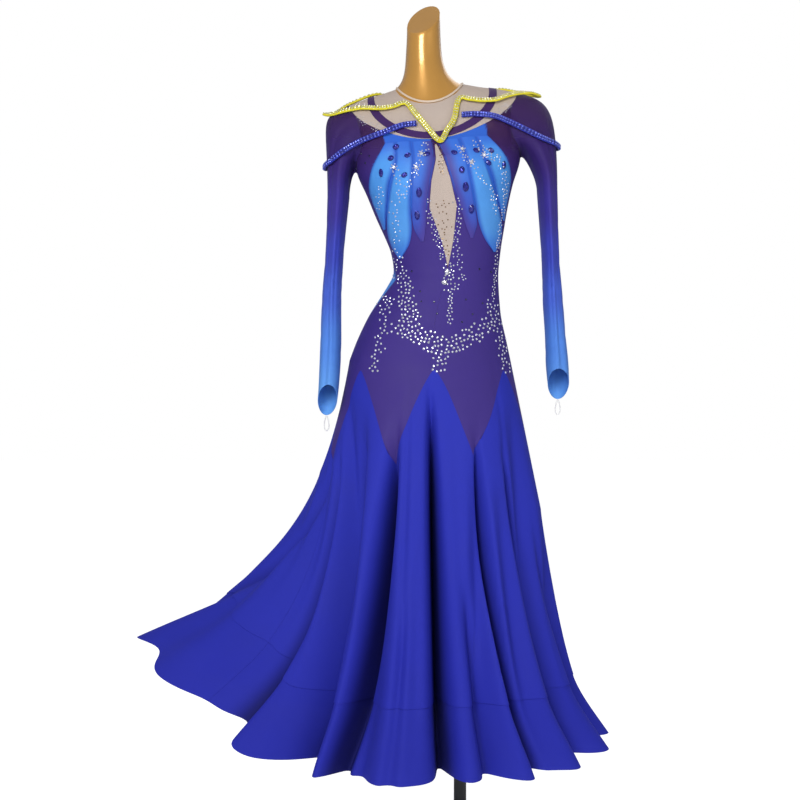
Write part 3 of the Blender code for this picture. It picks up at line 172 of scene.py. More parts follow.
# Zigzag seam of body and skirt: angle and height of its low points, height and roundness of its arches
ZIGZAG_POINTS = ((-150.0, 0.760), (-90.0, 0.760), (-24.0, 0.756), (28.0, 0.774), (90.0, 0.765),
                 (150.0, 0.760), (210.0, 0.760))
ARCH_TOP, ARCH_ROUND = 0.938, 1.35
# Angles of the body panels' tips from the centre line, in front on the left and right, and behind
TIP_LEFT, TIP_RIGHT, TIP_BACK = 24.0, 28.0, 30.0
# Armhole: share of the way from armpit to yoke, angle of its front edge
ARMHOLE_ROWS = ((0.0, 90.0), (0.13, 70.0), (0.3, 58.5), (0.55, 53.0), (0.8, 54.5), (1.0, 60.0))
SHOULDER_ANGLES = (75.0, 90.0, 105.0)
# Columns of the solid sleeve round the armhole, and shares of the side's height where one edge has them
SOLID_COLUMNS = 16
ARMHOLE_MARKS = (0.84, 0.868, 0.895, 0.922, 0.948, 0.974, 1.0)
# Neck binding: start past the yoke's edge, stand from it, rises of its rows
BINDING_START, BINDING_STAND, BINDING_RISES = 0.0006, 0.0018, (0.0, 0.0020, 0.0040)
# Keyhole: height and half width
KEYHOLE_ROWS = ((1.138, 0.0003), (1.175, 0.0080), (1.200, 0.0138), (1.254, 0.0266), (1.305, 0.0185),
                (1.345, 0.0080), (1.380, 0.0012))
KEYHOLE_LEAST_ANGLE = 0.6
# Leaf panels: height, inner x, outer x from the centre line
PETALS = {
    "inner": ((1.192, 0.045, 0.050), (1.220, 0.038, 0.061), (1.254, 0.033, 0.060), (1.300, 0.024, 0.0555),
              (1.345, 0.0135, 0.0500), (1.384, 0.0075, 0.0455)),
    "middle": ((1.165, 0.090, 0.094), (1.190, 0.073, 0.1065), (1.220, 0.0645, 0.1120),
               (1.254, 0.0625, 0.1075), (1.300, 0.0580, 0.0965), (1.345, 0.0525, 0.0835),
               (1.386, 0.0480, 0.0770)),
    "outer": ((1.226, 0.1145, 0.1185), (1.254, 0.1100, 0.1260), (1.280, 0.1050, 0.1340),
              (1.310, 0.0990, 0.1390), (1.345, 0.0860, 0.1300), (1.386, 0.0795, 0.1000)),
}
LEAF_LIFT, LEAF_PUFF = 0.0013, 0.0010
# Blue cloth between and above the leaf panels, darker as painted shade of the seams between them: lowest
# level, heights between which it begins
LEAF_BED_LOW_LEVEL, LEAF_BED_START = 5.0, (1.236, 1.262)
# Light blue leaves dyed in at the waist: angle of the middle and half length in degrees, left and right
SIDE_LEAF_LEFT, SIDE_LEAF_RIGHT = (98.0, 34.0), (124.0, 22.0)
SIDE_LEAF_LEVEL, SIDE_LEAF_HALF_HEIGHT, SIDE_LEAF_SLANT = 3.2, 2.0, 0.030
# Large stones: name, x, height, width, length
STONES = (
    ("left_a", -0.079, 1.3760, 0.013, 0.011), ("left_b", -0.0925, 1.3560, 0.013, 0.010),
    ("left_c", -0.0600, 1.3570, 0.013, 0.010), ("left_d", -0.0230, 1.3560, 0.013, 0.010),
    ("left_e", -0.1130, 1.3310, 0.010, 0.016), ("left_f", -0.0690, 1.3190, 0.013, 0.010),
    ("left_g", -0.0440, 1.2840, 0.011, 0.019), ("left_h", -0.0510, 1.2430, 0.010, 0.018),
    ("right_a", 0.0300, 1.3550, 0.013, 0.010), ("right_b", 0.0720, 1.3570, 0.013, 0.010),
    ("right_c", 0.1000, 1.3570, 0.013, 0.010), ("right_d", 0.0930, 1.3330, 0.013, 0.010),
    ("right_e", 0.0410, 1.3200, 0.011, 0.014), ("right_f", 0.0460, 1.2880, 0.012, 0.019),
    ("right_g", 0.0530, 1.2470, 0.011, 0.018), ("right_h", 0.1230, 1.3300, 0.010, 0.016),
    ("centre_drop", 0.0005, 1.1290, 0.009, 0.013), ("centre_oval", 0.0005, 1.1080, 0.011, 0.009),
)
# Sleeves: height, centre x, half width, centre y, half depth
SLEEVE_ROWS = {
    "left": ((0.830, -0.2680, 0.0170, -0.0560, 0.0300), (0.900, -0.2610, 0.0195, -0.0460, 0.0340),
             (0.980, -0.2575, 0.0205, -0.0280, 0.0400), (1.080, -0.2560, 0.0190, -0.0120, 0.0470),
             (1.180, -0.2500, 0.0180, -0.0040, 0.0550), (1.285, -0.2430, 0.0215, 0.0000, 0.0620)),
    "right": ((0.860, 0.1990, 0.0180, -0.0100, 0.0300), (0.945, 0.1940, 0.0220, -0.0060, 0.0350),
              (1.010, 0.1900, 0.0200, -0.0040, 0.0400), (1.080, 0.1855, 0.0195, 0.0000, 0.0460),
              (1.160, 0.1810, 0.0170, 0.0000, 0.0530), (1.300, 0.1740, 0.0195, 0.0000, 0.0620)),
}
SLEEVE_TOP = {"left": 1.285, "right": 1.300}
# Height of the cuff's middle, and the rise of its edge in front
CUFF_MIDDLE = {"left": 0.880, "right": 0.912}
CUFF_SLANT = 0.030
# Curve of the sleeve's head: turn, pull out of the armhole, pull up from the arm
HEAD_PULL = ((0.0, 0.014, 0.016), (90.0, 0.034, 0.070), (180.0, 0.072, 0.160))
FRONT_PLEAT, FRONT_PLEAT_TURN, FRONT_PLEAT_WIDTH = 0.0050, 110.0, 16.0
SLEEVE_STAND = 0.6
# Creases of the hanging sleeve: turn, half width, depth, height of the middle, half length
SLEEVE_CREASES = (
    (128.0, 9.0, 0.0050, 1.240, 0.200), (70.0, 10.0, 0.0030, 1.120, 0.120),
    (100.0, 8.0, 0.0022, 1.020, 0.080), (155.0, 9.0, 0.0022, 1.060, 0.120),
    (235.0, 10.0, 0.0040, 1.200, 0.180), (285.0, 10.0, 0.0030, 1.080, 0.140),
    (40.0, 12.0, 0.0030, 1.300, 0.070), (310.0, 12.0, 0.0030, 1.280, 0.080),
)
# Slanted drag wrinkles of the sleeve: height at the body, half the rise across the arm, half length, depth
SLEEVE_WRINKLES = ((1.092, 0.030, 0.010, 0.0016), (1.118, -0.022, 0.009, 0.0013),
                   (1.330, 0.045, 0.012, 0.0018), (0.975, 0.018, 0.008, 0.0011),
                   (1.180, 0.024, 0.010, 0.0012))

# Neckline band: level of its lower edge and height in levels, at the centre line and at the sides
BAND_LOW_FRONT, BAND_LOW_SIDE, BAND_RISE_FRONT, BAND_RISE_SIDE = 13.03, 14.12, 0.50, 0.40
STRIP_WIDTH, STRIP_THICKNESS, STRIP_CLEARANCE = 0.0108, 0.0068, 0.0008
# Braid and stone bed of a strip: share of its width, share of its thickness, rise as a share of it, sides
BRAID_SIZES, BED_SIZES = (1.0, 0.72, 0.0, 16), (0.72, 0.26, 0.26, 12)
STRIP_SQUARENESS = 0.7
# Rows of stones on a strip: share of its width, share of its thickness, tilt
STONE_ROWS = ((-0.22, 0.38, -0.15), (0.22, 0.38, 0.15))
STONE_SPACING, STONE_RISE = 1.12, 0.9
# Ways in which a strip's route point is laid on the dress
WAYS = {
    "front": (0.0, 1.0, 0.0), "high": (0.0, 0.7, -0.7), "top": (0.0, 0.0, -1.0),
    "back high": (0.0, -0.7, -0.7), "back": (0.0, -1.0, 0.0), "left": (1.0, 0.0, 0.0),
    "right": (-1.0, 0.0, 0.0),
}
# x, y, z of a point on the way, the way, clearance from the cloth
YELLOW_ROUTE = (
    (-0.0424, 0.0, 1.3835, "front", 0.0006), (-0.0284, 0.0, 1.4046, "front", 0.0030),
    (-0.0142, 0.0, 1.4290, "front", 0.0040), (-0.0040, -0.055, 1.4700, "high", 0.0020),
    (0.0179, -0.058, 1.4730, "high", 0.0030), (0.0396, -0.058, 1.4710, "high", 0.0030),
    (0.0675, -0.052, 1.4700, "high", 0.0030), (0.0922, -0.036, 1.4790, "high", 0.0030),
    (0.1170, -0.026, 1.4890, "high", 0.0040), (0.1420, -0.014, 1.5000, "top", 0.0060),
    (0.1580, 0.004, 1.5040, "top", 0.0060), (0.1440, 0.022, 1.5100, "top", 0.0100),
    (0.1180, 0.032, 1.5140, "top", 0.0120), (0.0720, 0.042, 1.5140, "top", 0.0110),
    (0.0250, 0.075, 1.4700, "back high", 0.0020), (-0.0540, 0.080, 1.4450, "back", 0.0020),
    (-0.1330, 0.075, 1.4600, "back high", 0.0060), (-0.1600, 0.042, 1.4940, "top", 0.0130),
    (-0.2190, 0.030, 1.4820, "top", 0.0120), (-0.2540, 0.020, 1.4650, "top", 0.0060),
    (-0.2700, 0.002, 1.4460, "top", 0.0020), (-0.2560, -0.016, 1.4480, "high", 0.0020),
    (-0.2290, -0.028, 1.4480, "high", 0.0020), (-0.1970, -0.038, 1.4520, "high", 0.0030),
    (-0.1614, -0.052, 1.4500, "high", 0.0030), (-0.1357, -0.058, 1.4550, "high", 0.0030),
    (-0.1090, -0.055, 1.4600, "high", 0.0020), (-0.0900, 0.0, 1.4400, "front", 0.0040),
    (-0.0650, 0.0, 1.4080, "front", 0.0030),
)
BLUE_ROUTE = (
    (-0.0880, 0.0, 1.4190, "front", 0.0030), (-0.1160, 0.0, 1.4154, "front", 0.0050),
    (-0.1490, 0.0, 1.4022, "front", 0.0060), (-0.1984, 0.0, 1.3857, "front", 0.0060),
    (-0.2337, 0.0, 1.3660, "front", 0.0050), (-0.2600, -0.050, 1.3500, "left", 0.0030),
    (-0.2720, 0.0, 1.3440, "left", 0.0006), (-0.2600, 0.050, 1.3560, "left", 0.0030),
    (-0.2250, 0.0, 1.4000, "back", 0.0050), (-0.1800, 0.0, 1.4550, "back", 0.0050),
    (-0.1400, 0.062, 1.4950, "back high", 0.0050), (-0.1050, 0.058, 1.5150, "back high", 0.0080),
    (-0.0540, 0.060, 1.5200, "back high", 0.0090), (0.0100, 0.058, 1.5200, "back high", 0.0090),
    (0.0450, 0.058, 1.5100, "back high", 0.0070), (0.0950, 0.0, 1.4700, "back", 0.0050),
    (0.1400, 0.0, 1.4250, "back", 0.0050), (0.1800, 0.050, 1.3950, "right", 0.0030),
    (0.1880, 0.0, 1.3840, "right", 0.0006), (0.1800, -0.050, 1.3900, "right", 0.0030),
    (0.1500, 0.0, 1.3980, "front", 0.0050), (0.1015, 0.0, 1.4210, "front", 0.0060),
    (0.0640, 0.0, 1.4347, "front", 0.0060), (0.0270, 0.0, 1.4386, "front", 0.0050),
    (0.0000, 0.0, 1.4370, "front", 0.0030),
)

# Streaks of small stones on the front: name, count, diameter, half spread, also on the back, path of (x, z)
STREAKS = (
    ("left outer leaf", 14, 0.0030, 0.008, False, ((-0.155, 1.298), (-0.161, 1.275), (-0.165, 1.248))),
    ("left middle leaf", 40, 0.0034, 0.009, False, ((-0.128, 1.329), (-0.120, 1.287), (-0.134, 1.244),
                                                    (-0.126, 1.206), (-0.134, 1.167), (-0.126, 1.136))),
    ("left inner leaf", 34, 0.0032, 0.010, False, ((-0.068, 1.378), (-0.083, 1.329), (-0.106, 1.291),
                                                   (-0.120, 1.260))),
    ("left leaf edge", 22, 0.0030, 0.004, False, ((-0.174, 1.258), (-0.163, 1.206), (-0.147, 1.175),
                                                  (-0.136, 1.147))),
    ("left waist", 74, 0.0044, 0.017, True, ((-0.130, 1.159), (-0.116, 1.124), (-0.108, 1.089),
                                             (-0.103, 1.054), (-0.089, 1.031))),
    ("left back hip", 34, 0.0044, 0.016, True, ((-0.137, 1.083), (-0.156, 1.060), (-0.147, 1.023),
                                                (-0.159, 0.990))),
    ("left hip point", 16, 0.0046, 0.013, True, ((-0.155, 0.989), (-0.170, 0.958), (-0.167, 0.932))),
    ("left garland", 62, 0.0048, 0.022, True, ((-0.124, 1.031), (-0.097, 1.012), (-0.066, 0.996),
                                               (-0.043, 0.981))),
    ("garland point", 24, 0.0048, 0.016, True, ((-0.031, 0.989), (-0.044, 0.961), (-0.046, 0.934))),
    ("right garland", 66, 0.0048, 0.020, True, ((-0.043, 0.981), (-0.008, 0.989), (0.023, 1.006),
                                                (0.051, 1.023), (0.070, 1.043))),
    ("centre line", 22, 0.0038, 0.006, True, ((-0.023, 1.097), (-0.021, 1.066), (-0.025, 1.025))),
    ("centre fan", 30, 0.0038, 0.018, False, ((-0.025, 1.147), (-0.023, 1.120), (-0.021, 1.089))),
    ("keyhole left", 40, 0.0032, 0.009, False, ((-0.066, 1.268), (-0.062, 1.240), (-0.048, 1.198),
                                                (-0.035, 1.155))),
    ("keyhole right", 48, 0.0032, 0.010, False, ((-0.010, 1.271), (-0.008, 1.236), (-0.010, 1.190),
                                                 (-0.006, 1.147), (0.000, 1.113))),
    ("keyhole mesh", 34, 0.0028, 0.015, False, ((-0.037, 1.268), (-0.037, 1.236), (-0.031, 1.190),
                                                (-0.026, 1.160))),
    ("keyhole top", 18, 0.0028, 0.005, False, ((-0.043, 1.372), (-0.041, 1.341), (-0.039, 1.314))),
    ("right inner leaf", 42, 0.0032, 0.009, False, ((-0.011, 1.378), (0.012, 1.343), (0.039, 1.310),
                                                    (0.062, 1.279), (0.068, 1.244))),
    ("right outer leaf", 44, 0.0032, 0.009, False, ((0.023, 1.385), (0.043, 1.364), (0.068, 1.349),
                                                    (0.086, 1.322), (0.086, 1.283))),
    ("right side", 60, 0.0034, 0.004, True, ((0.086, 1.287), (0.082, 1.248), (0.075, 1.206), (0.071, 1.159),
                                             (0.066, 1.113), (0.064, 1.074))),
    ("right waist", 34, 0.0042, 0.012, True, ((0.060, 1.078), (0.062, 1.054), (0.066, 1.031))),
    ("right hip point", 34, 0.0044, 0.013, True, ((0.070, 1.031), (0.078, 0.996), (0.085, 0.965),
                                                  (0.090, 0.934))),
    ("left yoke", 30, 0.0023, 0.011, False, ((-0.203, 1.437), (-0.182, 1.420), (-0.158, 1.408))),
    ("left yoke top", 12, 0.0023, 0.008, False, ((-0.208, 1.467), (-0.184, 1.458))),
    ("right yoke", 26, 0.0023, 0.011, False, ((0.066, 1.440), (0.083, 1.452), (0.092, 1.464))),
)
# Single dark stones and clear clusters on the front, as (x, z)
DARK_STONES = ((-0.196, 1.364), (-0.180, 1.357), (-0.188, 1.345), (-0.081, 1.091), (-0.079, 1.071),
               (-0.054, 1.070), (0.008, 1.075), (0.041, 1.069), (0.021, 1.047), (0.059, 1.132),
               (-0.048, 1.047), (-0.112, 1.043), (0.000, 1.031), (-0.097, 1.132), (0.035, 1.136))
CLEAR_CLUSTERS = ((-0.079, 1.357), (-0.132, 1.331), (-0.089, 1.329), (0.000, 1.366), (0.018, 1.339),
                  (0.043, 1.355))
DARK_STONE_SIZE, CLUSTER_STONE_SIZE = 0.0042, 0.0085
# Ring of stones round a cluster: radius, diameter of a stone, first turn
CLUSTER_RING, CLUSTER_RING_STONE, CLUSTER_RING_TURN = 0.0062, 0.0026, 12.0
# Least distances of stones in their diameters, in one streak and between streaks
STREAK_DISTANCE, STONE_DISTANCE = 1.32, 1.25
SET_STONE_HEIGHT, SET_STONE_SPIN = 0.0105, 25.0
MESH_STREAKS = ("keyhole mesh", "keyhole top")

# Elastic finger loop: thickness, and how much narrower it is at the top
LOOP_THICKNESS, LOOP_NARROWING = 0.0022, 0.35
# Lowest ring of the form's neck: height, centre x, half width, depth in front, depth behind
NECK_FOOT = (1.522, -0.0670, 0.0460, 0.0440, 0.0440)
# Cut of the neck: height and x of its middle, slope in y that the solid has, slope in x added to it
NECK_CUT_HEIGHT, NECK_CUT_X, NECK_CUT_RISE, NECK_CUT_SLOPE = 1.640, -0.0730, 0.90, 0.45
ON_CUT = 0.0005


def srgb(red, green, blue):
    """A colour from its everyday 0 to 255 values."""
    return tuple(((c / 255.0 + 0.055) / 1.055) ** 2.4 if c > 10 else c / 255.0 / 12.92
                 for c in (red, green, blue)) + (1.0,)


def colour_property(name, what, red, green, blue):
    return FloatVectorProperty(name=name, description=what, subtype="COLOR", size=4, min=0.0, max=1.0,
                               default=srgb(red, green, blue))


class DressSettings(bpy.types.PropertyGroup):
    """Sizes and colours of the dress."""
    cloth: FloatProperty(name="Cloth", description="Thickness of the cloth", default=0.0010, unit="LENGTH")
    crease_share: FloatProperty(name="Creases", description="Strength of the small creases", default=1.0,
                                min=0.0, max=2.0, subtype="FACTOR")
    strip_stone: FloatProperty(name="Strip stone", description="Diameter of the stones on the strips",
                               default=0.0042, unit="LENGTH")
    seed: IntProperty(name="Seed", description="Seed of the scattered stones", default=7)
    purple: colour_property("Purple", "Stretch cloth of the body", 62, 46, 128)
    violet: colour_property("Shoulder", "Sheer cloth of the shoulders", 60, 30, 92)
    royal: colour_property("Royal blue", "Skirt crepe", 44, 52, 172)
    sky: colour_property("Sky blue", "Light part of the leaf panels", 78, 152, 232)
    azure: colour_property("Azure", "Deep part of the leaf panels", 50, 106, 210)
    cuff: colour_property("Cuff blue", "Lower end of the sleeves", 98, 160, 232)
    mesh: colour_property("Nude mesh", "Mesh of yoke and keyhole", 202, 186, 176)
    yellow: colour_property("Yellow", "Yellow shoulder strip", 228, 218, 52)
    strip_blue: colour_property("Strip blue", "Blue shoulder strip", 42, 52, 176)
    gold: colour_property("Gold", "Coat of the dress form", 204, 150, 70)
    metal: colour_property("Metal", "Pole and base", 60, 61, 64)


def settings():
    return bpy.context.scene.dance_dress


def smoothstep(low, high, value):
    share = min(max((value - low) / (high - low), 0.0), 1.0)
    return share * share * (3.0 - 2.0 * share)


def read_table(rows, key):
    """The columns after the first, read at key by a smooth curve through the rows. The first column rises."""
    last = len(rows) - 1
    place = 0
    while place < last - 1 and key > rows[place + 1][0]:
        place += 1
    before, low, high = rows[max(place - 1, 0)], rows[place], rows[place + 1]
    after = rows[min(place + 2, last)]
    span = high[0] - low[0]
    share = min(max((key - low[0]) / span, 0.0), 1.0)
    square, cube = share ** 2, share ** 3
    values = []
    for column in range(1, len(low)):
        slope_low = span * (high[column] - before[column]) / (high[0] - before[0])
        slope_high = span * (after[column] - low[column]) / (after[0] - low[0])
        values.append((2 * cube - 3 * square + 1) * low[column] + (cube - 2 * square + share) * slope_low
                      + (3 * square - 2 * cube) * high[column] + (cube - square) * slope_high)
    return values


RING_TABLE = tuple((float(level),) + row for level, row in enumerate(BODY_RINGS))
BODY_TABLE, YOKE_TABLE = RING_TABLE[:int(YOKE_LEVEL) + 1], RING_TABLE[int(YOKE_LEVEL):]


def ring_sizes(level):
    return read_table(BODY_TABLE if level <= YOKE_LEVEL else YOKE_TABLE, level)


def ring_point(sizes, angle):
    """Local x, y and height on a ring of the body, and the x of its centre."""
    front_z, side_z, back_z, centre, half_width, front, back, squareness = sizes
    sine, cosine = math.sin(math.radians(angle)), math.cos(math.radians(angle))
    norm = (abs(sine) ** squareness + abs(cosine) ** squareness) ** (1.0 / squareness)
    depth, end_z = (front, front_z) if cosine > 0.0 else (back, back_z)
    height = side_z + (end_z - side_z) * abs(cosine) ** FRONT_HEIGHT_POWER
    return half_width * sine / norm, -depth * cosine / norm, height, centre


def body_point(angle, level):
    x, y, height, centre = ring_point(ring_sizes(level), angle)
    if y < 0.0:
        across, up = (abs(x) - BUST_X) / BUST_WIDTH, (height - BUST_Z) / BUST_HEIGHT
        y -= BUST_OUT * math.exp(-across ** 2 - up ** 2)
    lean = LEAN * smoothstep(LEAN_START, LEAN_FULL, height)
    return Vector((centre + x, y, height + lean * x))


def turn_between(angle, other):
    return (angle - other + 180.0) % 360.0 - 180.0


def valley_depth(hem_angle, share):
    """Depth of the narrow valleys alone."""
    depth = 0.0
    for start_angle, end_angle, half_width, full_depth, start in SKIRT_VALLEYS:
        if share > start:
            grown = (share - start) / (1.0 - start)
            middle = start_angle + turn_between(end_angle, start_angle) * grown
            off = turn_between(hem_angle, middle) / half_width
            depth += full_depth * smoothstep(0.0, VALLEY_GROWTH, grown) * math.exp(-off * off)
    return depth


def fold_depth(hem_angle, share):
    """Depth of all folds of the skirt at a hem angle, share 0 at the hip and 1 at the hem."""
    depth = 0.0
    for fold_angle, half_width, full_depth, start in SKIRT_FOLDS:
        if share > start:
            grown = ((share - start) / (1.0 - start)) ** FOLD_GROWTH
            off = turn_between(hem_angle, fold_angle) / half_width
            depth += full_depth * grown * math.exp(-off * off)
    crease_share = settings().crease_share
    for crease_angle, half_width, full_depth, middle, half_length in SKIRT_CREASES:
        off = turn_between(hem_angle, crease_angle + CREASE_SLANT * (share - middle)) / half_width
        along = (share - middle) / half_length
        depth += crease_share * full_depth * math.exp(-off * off - along * along)
    return depth + valley_depth(hem_angle, share)


def valley_painted_shade(angle, level):
    """How deep in a narrow valley a place of the skirt lies, from 0 to 1: how far painted shade darkens the
    skirt's colour there.
    """
    if level >= 0.0:
        return 0.0
    hem_angle = read_table(HEM_ROWS, turn_between(angle, 0.0))[0]
    return min(valley_depth(hem_angle, -level / SKIRT_LEVELS) / VALLEY_FULL_SHADE, 1.0)


def skirt_point(angle, share):
    """A point of the skirt, share 0 at the hip and 1 at the hem."""
    angle = turn_between(angle, 0.0)
    hem_angle, reach, hem_z, straight, power = read_table(HEM_ROWS, angle)
    hip = body_point(angle, 0.0)
    turn = math.radians(hem_angle)
    blend = straight * share + (1.0 - straight) * share ** power
    x = hip.x + (HEM_CENTRE_X + reach * math.sin(turn) - hip.x) * blend
    y = hip.y + (-reach * math.cos(turn) - hip.y) * blend
    facing = math.radians(angle + turn_between(hem_angle, angle) * blend)
    inward = fold_depth(hem_angle, share) - BAND_KICK * smoothstep(BAND_START, 1.0, share)
    x -= inward * math.sin(facing)
    y += inward * math.cos(facing)
    return Vector((x, y, hip.z + (hem_z - hip.z) * share))


def garment_point(angle, level):
    if level >= 0.0:
        return body_point(angle, level)
    return skirt_point(angle, -level / SKIRT_LEVELS)


def garment_normal(angle, level):
    step = 0.02
    round_way = garment_point(angle + 0.5, level) - garment_point(angle - 0.5, level)
    up_way = garment_point(angle, min(level + step, NECK_LEVEL)) - garment_point(angle, level - step)
    return round_way.cross(up_way).normalized()


def body_crease(angle, level):
    """Height of the small creases of the stretch body at a place."""
    height = 0.0
    for crease_angle, crease_level, half_width, half_length, slant, full in BODY_CREASES:
        off = turn_between(angle, crease_angle)
        if abs(off) < 3.0 * half_width:
            along = (level - crease_level - slant * off) / half_length
            height += full * math.exp(-(off / half_width) ** 2 - along * along)
    return height * settings().crease_share


def angle_across(x, half_width, squareness):
    """Angle of a ring's point that lies x to the side of its centre."""
    wide = min(x / half_width, 0.9999) ** squareness
    return math.degrees(math.atan((wide / (1.0 - wide)) ** (1.0 / squareness)))


def front_place(x, height):
    """Angle and level of the front point at local x and height."""
    low, high = FRONT_LOW_LEVEL, NECK_LEVEL
    for _ in range(30):
        level = (low + high) / 2.0
        front_z, side_z, _back_z, _centre, half_width, _front, _back, squareness = ring_sizes(level)
        angle = angle_across(abs(x), half_width, squareness)
        here = side_z + (front_z - side_z) * math.cos(math.radians(angle)) ** FRONT_HEIGHT_POWER
        low, high = (level, high) if here < height else (low, level)
    return math.copysign(angle, x), level


def zigzag_level(angle):
    """Level of the seam between body and skirt."""
    angle = (angle - ZIGZAG_POINTS[0][0]) % 360.0 + ZIGZAG_POINTS[0][0]
    for (low, low_z), (high, high_z) in zip(ZIGZAG_POINTS, ZIGZAG_POINTS[1:]):
        if low <= angle <= high:
            across = (angle - low) / (high - low)
            height = low_z + (high_z - low_z) * across
            height += (ARCH_TOP - height) * (1.0 - abs(2.0 * across - 1.0) ** ARCH_ROUND)
            hip = body_point(angle, 0.0)
            hem_z = read_table(HEM_ROWS, turn_between(angle, 0.0))[2]
            return -SKIRT_LEVELS * (hip.z - height) / (hip.z - hem_z)
    raise ValueError(angle)


def keyhole_angle(level):
    """Angle of the keyhole's edge on a level, or 0 where there is no keyhole."""
    if level < FRONT_LOW_LEVEL:
        return 0.0
    front_z, _side_z, _back_z, _centre, half_width, _front, _back, squareness = ring_sizes(level)
    if not KEYHOLE_ROWS[0][0] < front_z < KEYHOLE_ROWS[-1][0]:
        return 0.0
    for (low, low_half), (high, high_half) in zip(KEYHOLE_ROWS, KEYHOLE_ROWS[1:]):
        if low <= front_z <= high:
            half = low_half + (high_half - low_half) * (front_z - low) / (high - low)
    return angle_across(half, half_width, squareness)


def armhole_angle(level):
    share = (level - ARMPIT_LEVEL) / (YOKE_LEVEL - ARMPIT_LEVEL)
    return 90.0 if share <= 0.0 else read_table(ARMHOLE_ROWS, share)[0]


def panel_place(base_angle, front, side, row_share):
    """Angle and level of a body panel's point. The base angle is the column's own at the lower edge."""
    low = zigzag_level(base_angle)
    level = low + (YOKE_LEVEL - low) * row_share
    share_of_quarter = abs(base_angle) / 90.0 if front else (180.0 - abs(base_angle)) / 90.0
    inner = keyhole_angle(level) if front else 0.0
    from_middle = inner + (armhole_angle(level) - inner) * share_of_quarter
    return side * (from_middle if front else 180.0 - from_middle), level


def grid_normals(grid, wrap):
    rows, columns = len(grid), len(grid[0])
    normals = []
    for r in range(rows):
        line = []
        for c in range(columns):
            if wrap:
                across = grid[r][(c + 1) % columns] - grid[r][c - 1]
            else:
                across = grid[r][min(c + 1, columns - 1)] - grid[r][max(c - 1, 0)]
            along = grid[min(r + 1, rows - 1)][c] - grid[max(r - 1, 0)][c]
            line.append(across.cross(along).normalized())
        normals.append(line)
    return normals


def edge_in(grid, wrap, distance):
    """Draw the grid's open edges in by a distance, so that seams have a gap."""
    rows, columns = len(grid), len(grid[0])
    moved = [list(row) for row in grid]
    for r in range(rows):
        for c in range(columns):
            shift = Vector((0.0, 0.0, 0.0))
            if r == 0:
                shift += (grid[1][c] - grid[0][c]).normalized()
            if r == rows - 1:
                shift += (grid[-2][c] - grid[-1][c]).normalized()
            if not wrap and c == 0:
                shift += (grid[r][1] - grid[r][0]).normalized()
            if not wrap and c == columns - 1:
                shift += (grid[r][-2] - grid[r][-1]).normalized()
            moved[r][c] = grid[r][c] + shift * distance
    return moved


def add_mesh(name, points, faces, material, uvs=None, sharp=60.0):
    """One object from points and faces, with a UV for each point, smooth with its sharp edges kept."""
    mesh = bpy.data.meshes.new(name)
    mesh.from_pydata([tuple(point) for point in points], [], faces)
    if uvs:
        layer = mesh.uv_layers.new(name="Cloth")
        for loop in mesh.loops:
            layer.data[loop.index].uv = uvs[loop.vertex_index]
    mesh.materials.append(material)
    mesh.shade_smooth()
    mesh.set_sharp_from_angle(angle=math.radians(sharp))
    piece = bpy.data.objects.new(name, mesh)
    bpy.context.scene.collection.objects.link(piece)
    return piece


def hand_over(piece, slot, *nodes):
    """Hang a piece on the frame's root body and hide the solids that it stands for. The slot is not used."""
    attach(piece, "root")
    if nodes:
        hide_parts(*nodes)
    return piece


def cloth_wall(name, grid, material, slot, solid=None, wrap=False, thickness=None, lift=0.0, gap=SEAM_GAP):
    """A closed thin wall of cloth on a grid of points, which stands for its solid."""
    thickness = thickness or settings().cloth
    grid = edge_in(grid, wrap, gap / 2.0)
    normals = grid_normals(grid, wrap)
    rows, columns = len(grid), len(grid[0])
    points, uvs = [], []
    for side in (0.5, -0.5):
        for r in range(rows):
            for c in range(columns):
                points.append(grid[r][c] + normals[r][c] * (lift + thickness * side))
                uvs.append((c / (columns if wrap else columns - 1), r / (rows - 1)))
    below = rows * columns
    faces = []
    spans = columns if wrap else columns - 1
    for r in range(rows - 1):
        for c in range(spans):
            a, b = r * columns + c, r * columns + (c + 1) % columns
            d, e = a + columns, b + columns
            faces += [(a, b, e, d), (below + a, below + d, below + e, below + b)]
    for c in range(spans):
        a, b = c, (c + 1) % columns
        faces.append((a, below + a, below + b, b))
        a, b = a + below - columns, b + below - columns
        faces.append((a, b, below + b, below + a))
    if not wrap:
        for r in range(rows - 1):
            a, d = r * columns, (r + 1) * columns
            faces.append((a, d, below + d, below + a))
            a, d = a + columns - 1, d + columns - 1
            faces.append((a, below + a, below + d, d))
    piece = hand_over(add_mesh("cloth_" + name, points, faces, material, uvs), slot, solid or name)
    return piece


def write_shares(piece, label, shares):
    """Write a number for each point of a cloth's grid, the same on both of its faces."""
    layer = piece.data.attributes.new(label, "FLOAT", "POINT")
    layer.data.foreach_set("value", shares + shares)


def spread(low, high, count):
    return [low + (high - low) * step / count for step in range(count + 1)]


def layers_of(kinds, left_out=()):
    """What rays can meet of the objects whose names start in one of these ways and not in the others."""
    layers = []
    for piece in bpy.data.objects:
        if piece.name.startswith(kinds) and not piece.name.startswith(left_out):
            corners = [vert.co for vert in piece.data.vertices]
            layers.append(BVHTree.FromPolygons(corners, [face.vertices for face in piece.data.polygons]))
    return layers


def first_hit(layers, point, way, reach):
    """Place and normal where a ray through the point, from outside along the way, first meets a layer."""
    start = point - way * reach
    hits = []
    for layer in layers:
        place, normal, _index, distance = layer.ray_cast(start, way, 2.0 * reach)
        if place is not None:
            hits.append((distance, place, normal))
    return min(hits, key=lambda hit: hit[0])[1:] if hits else (None, None)


# Materials

STRETCH_WEAVE, CREPE_WEAVE = (520.0, 900.0, 0.45), (700.0, 650.0, 0.75)
MESH_WEAVE, PLAIN_WEAVE = (1100.0, 700.0, 0.3), (900.0, 600.0, 0.5)


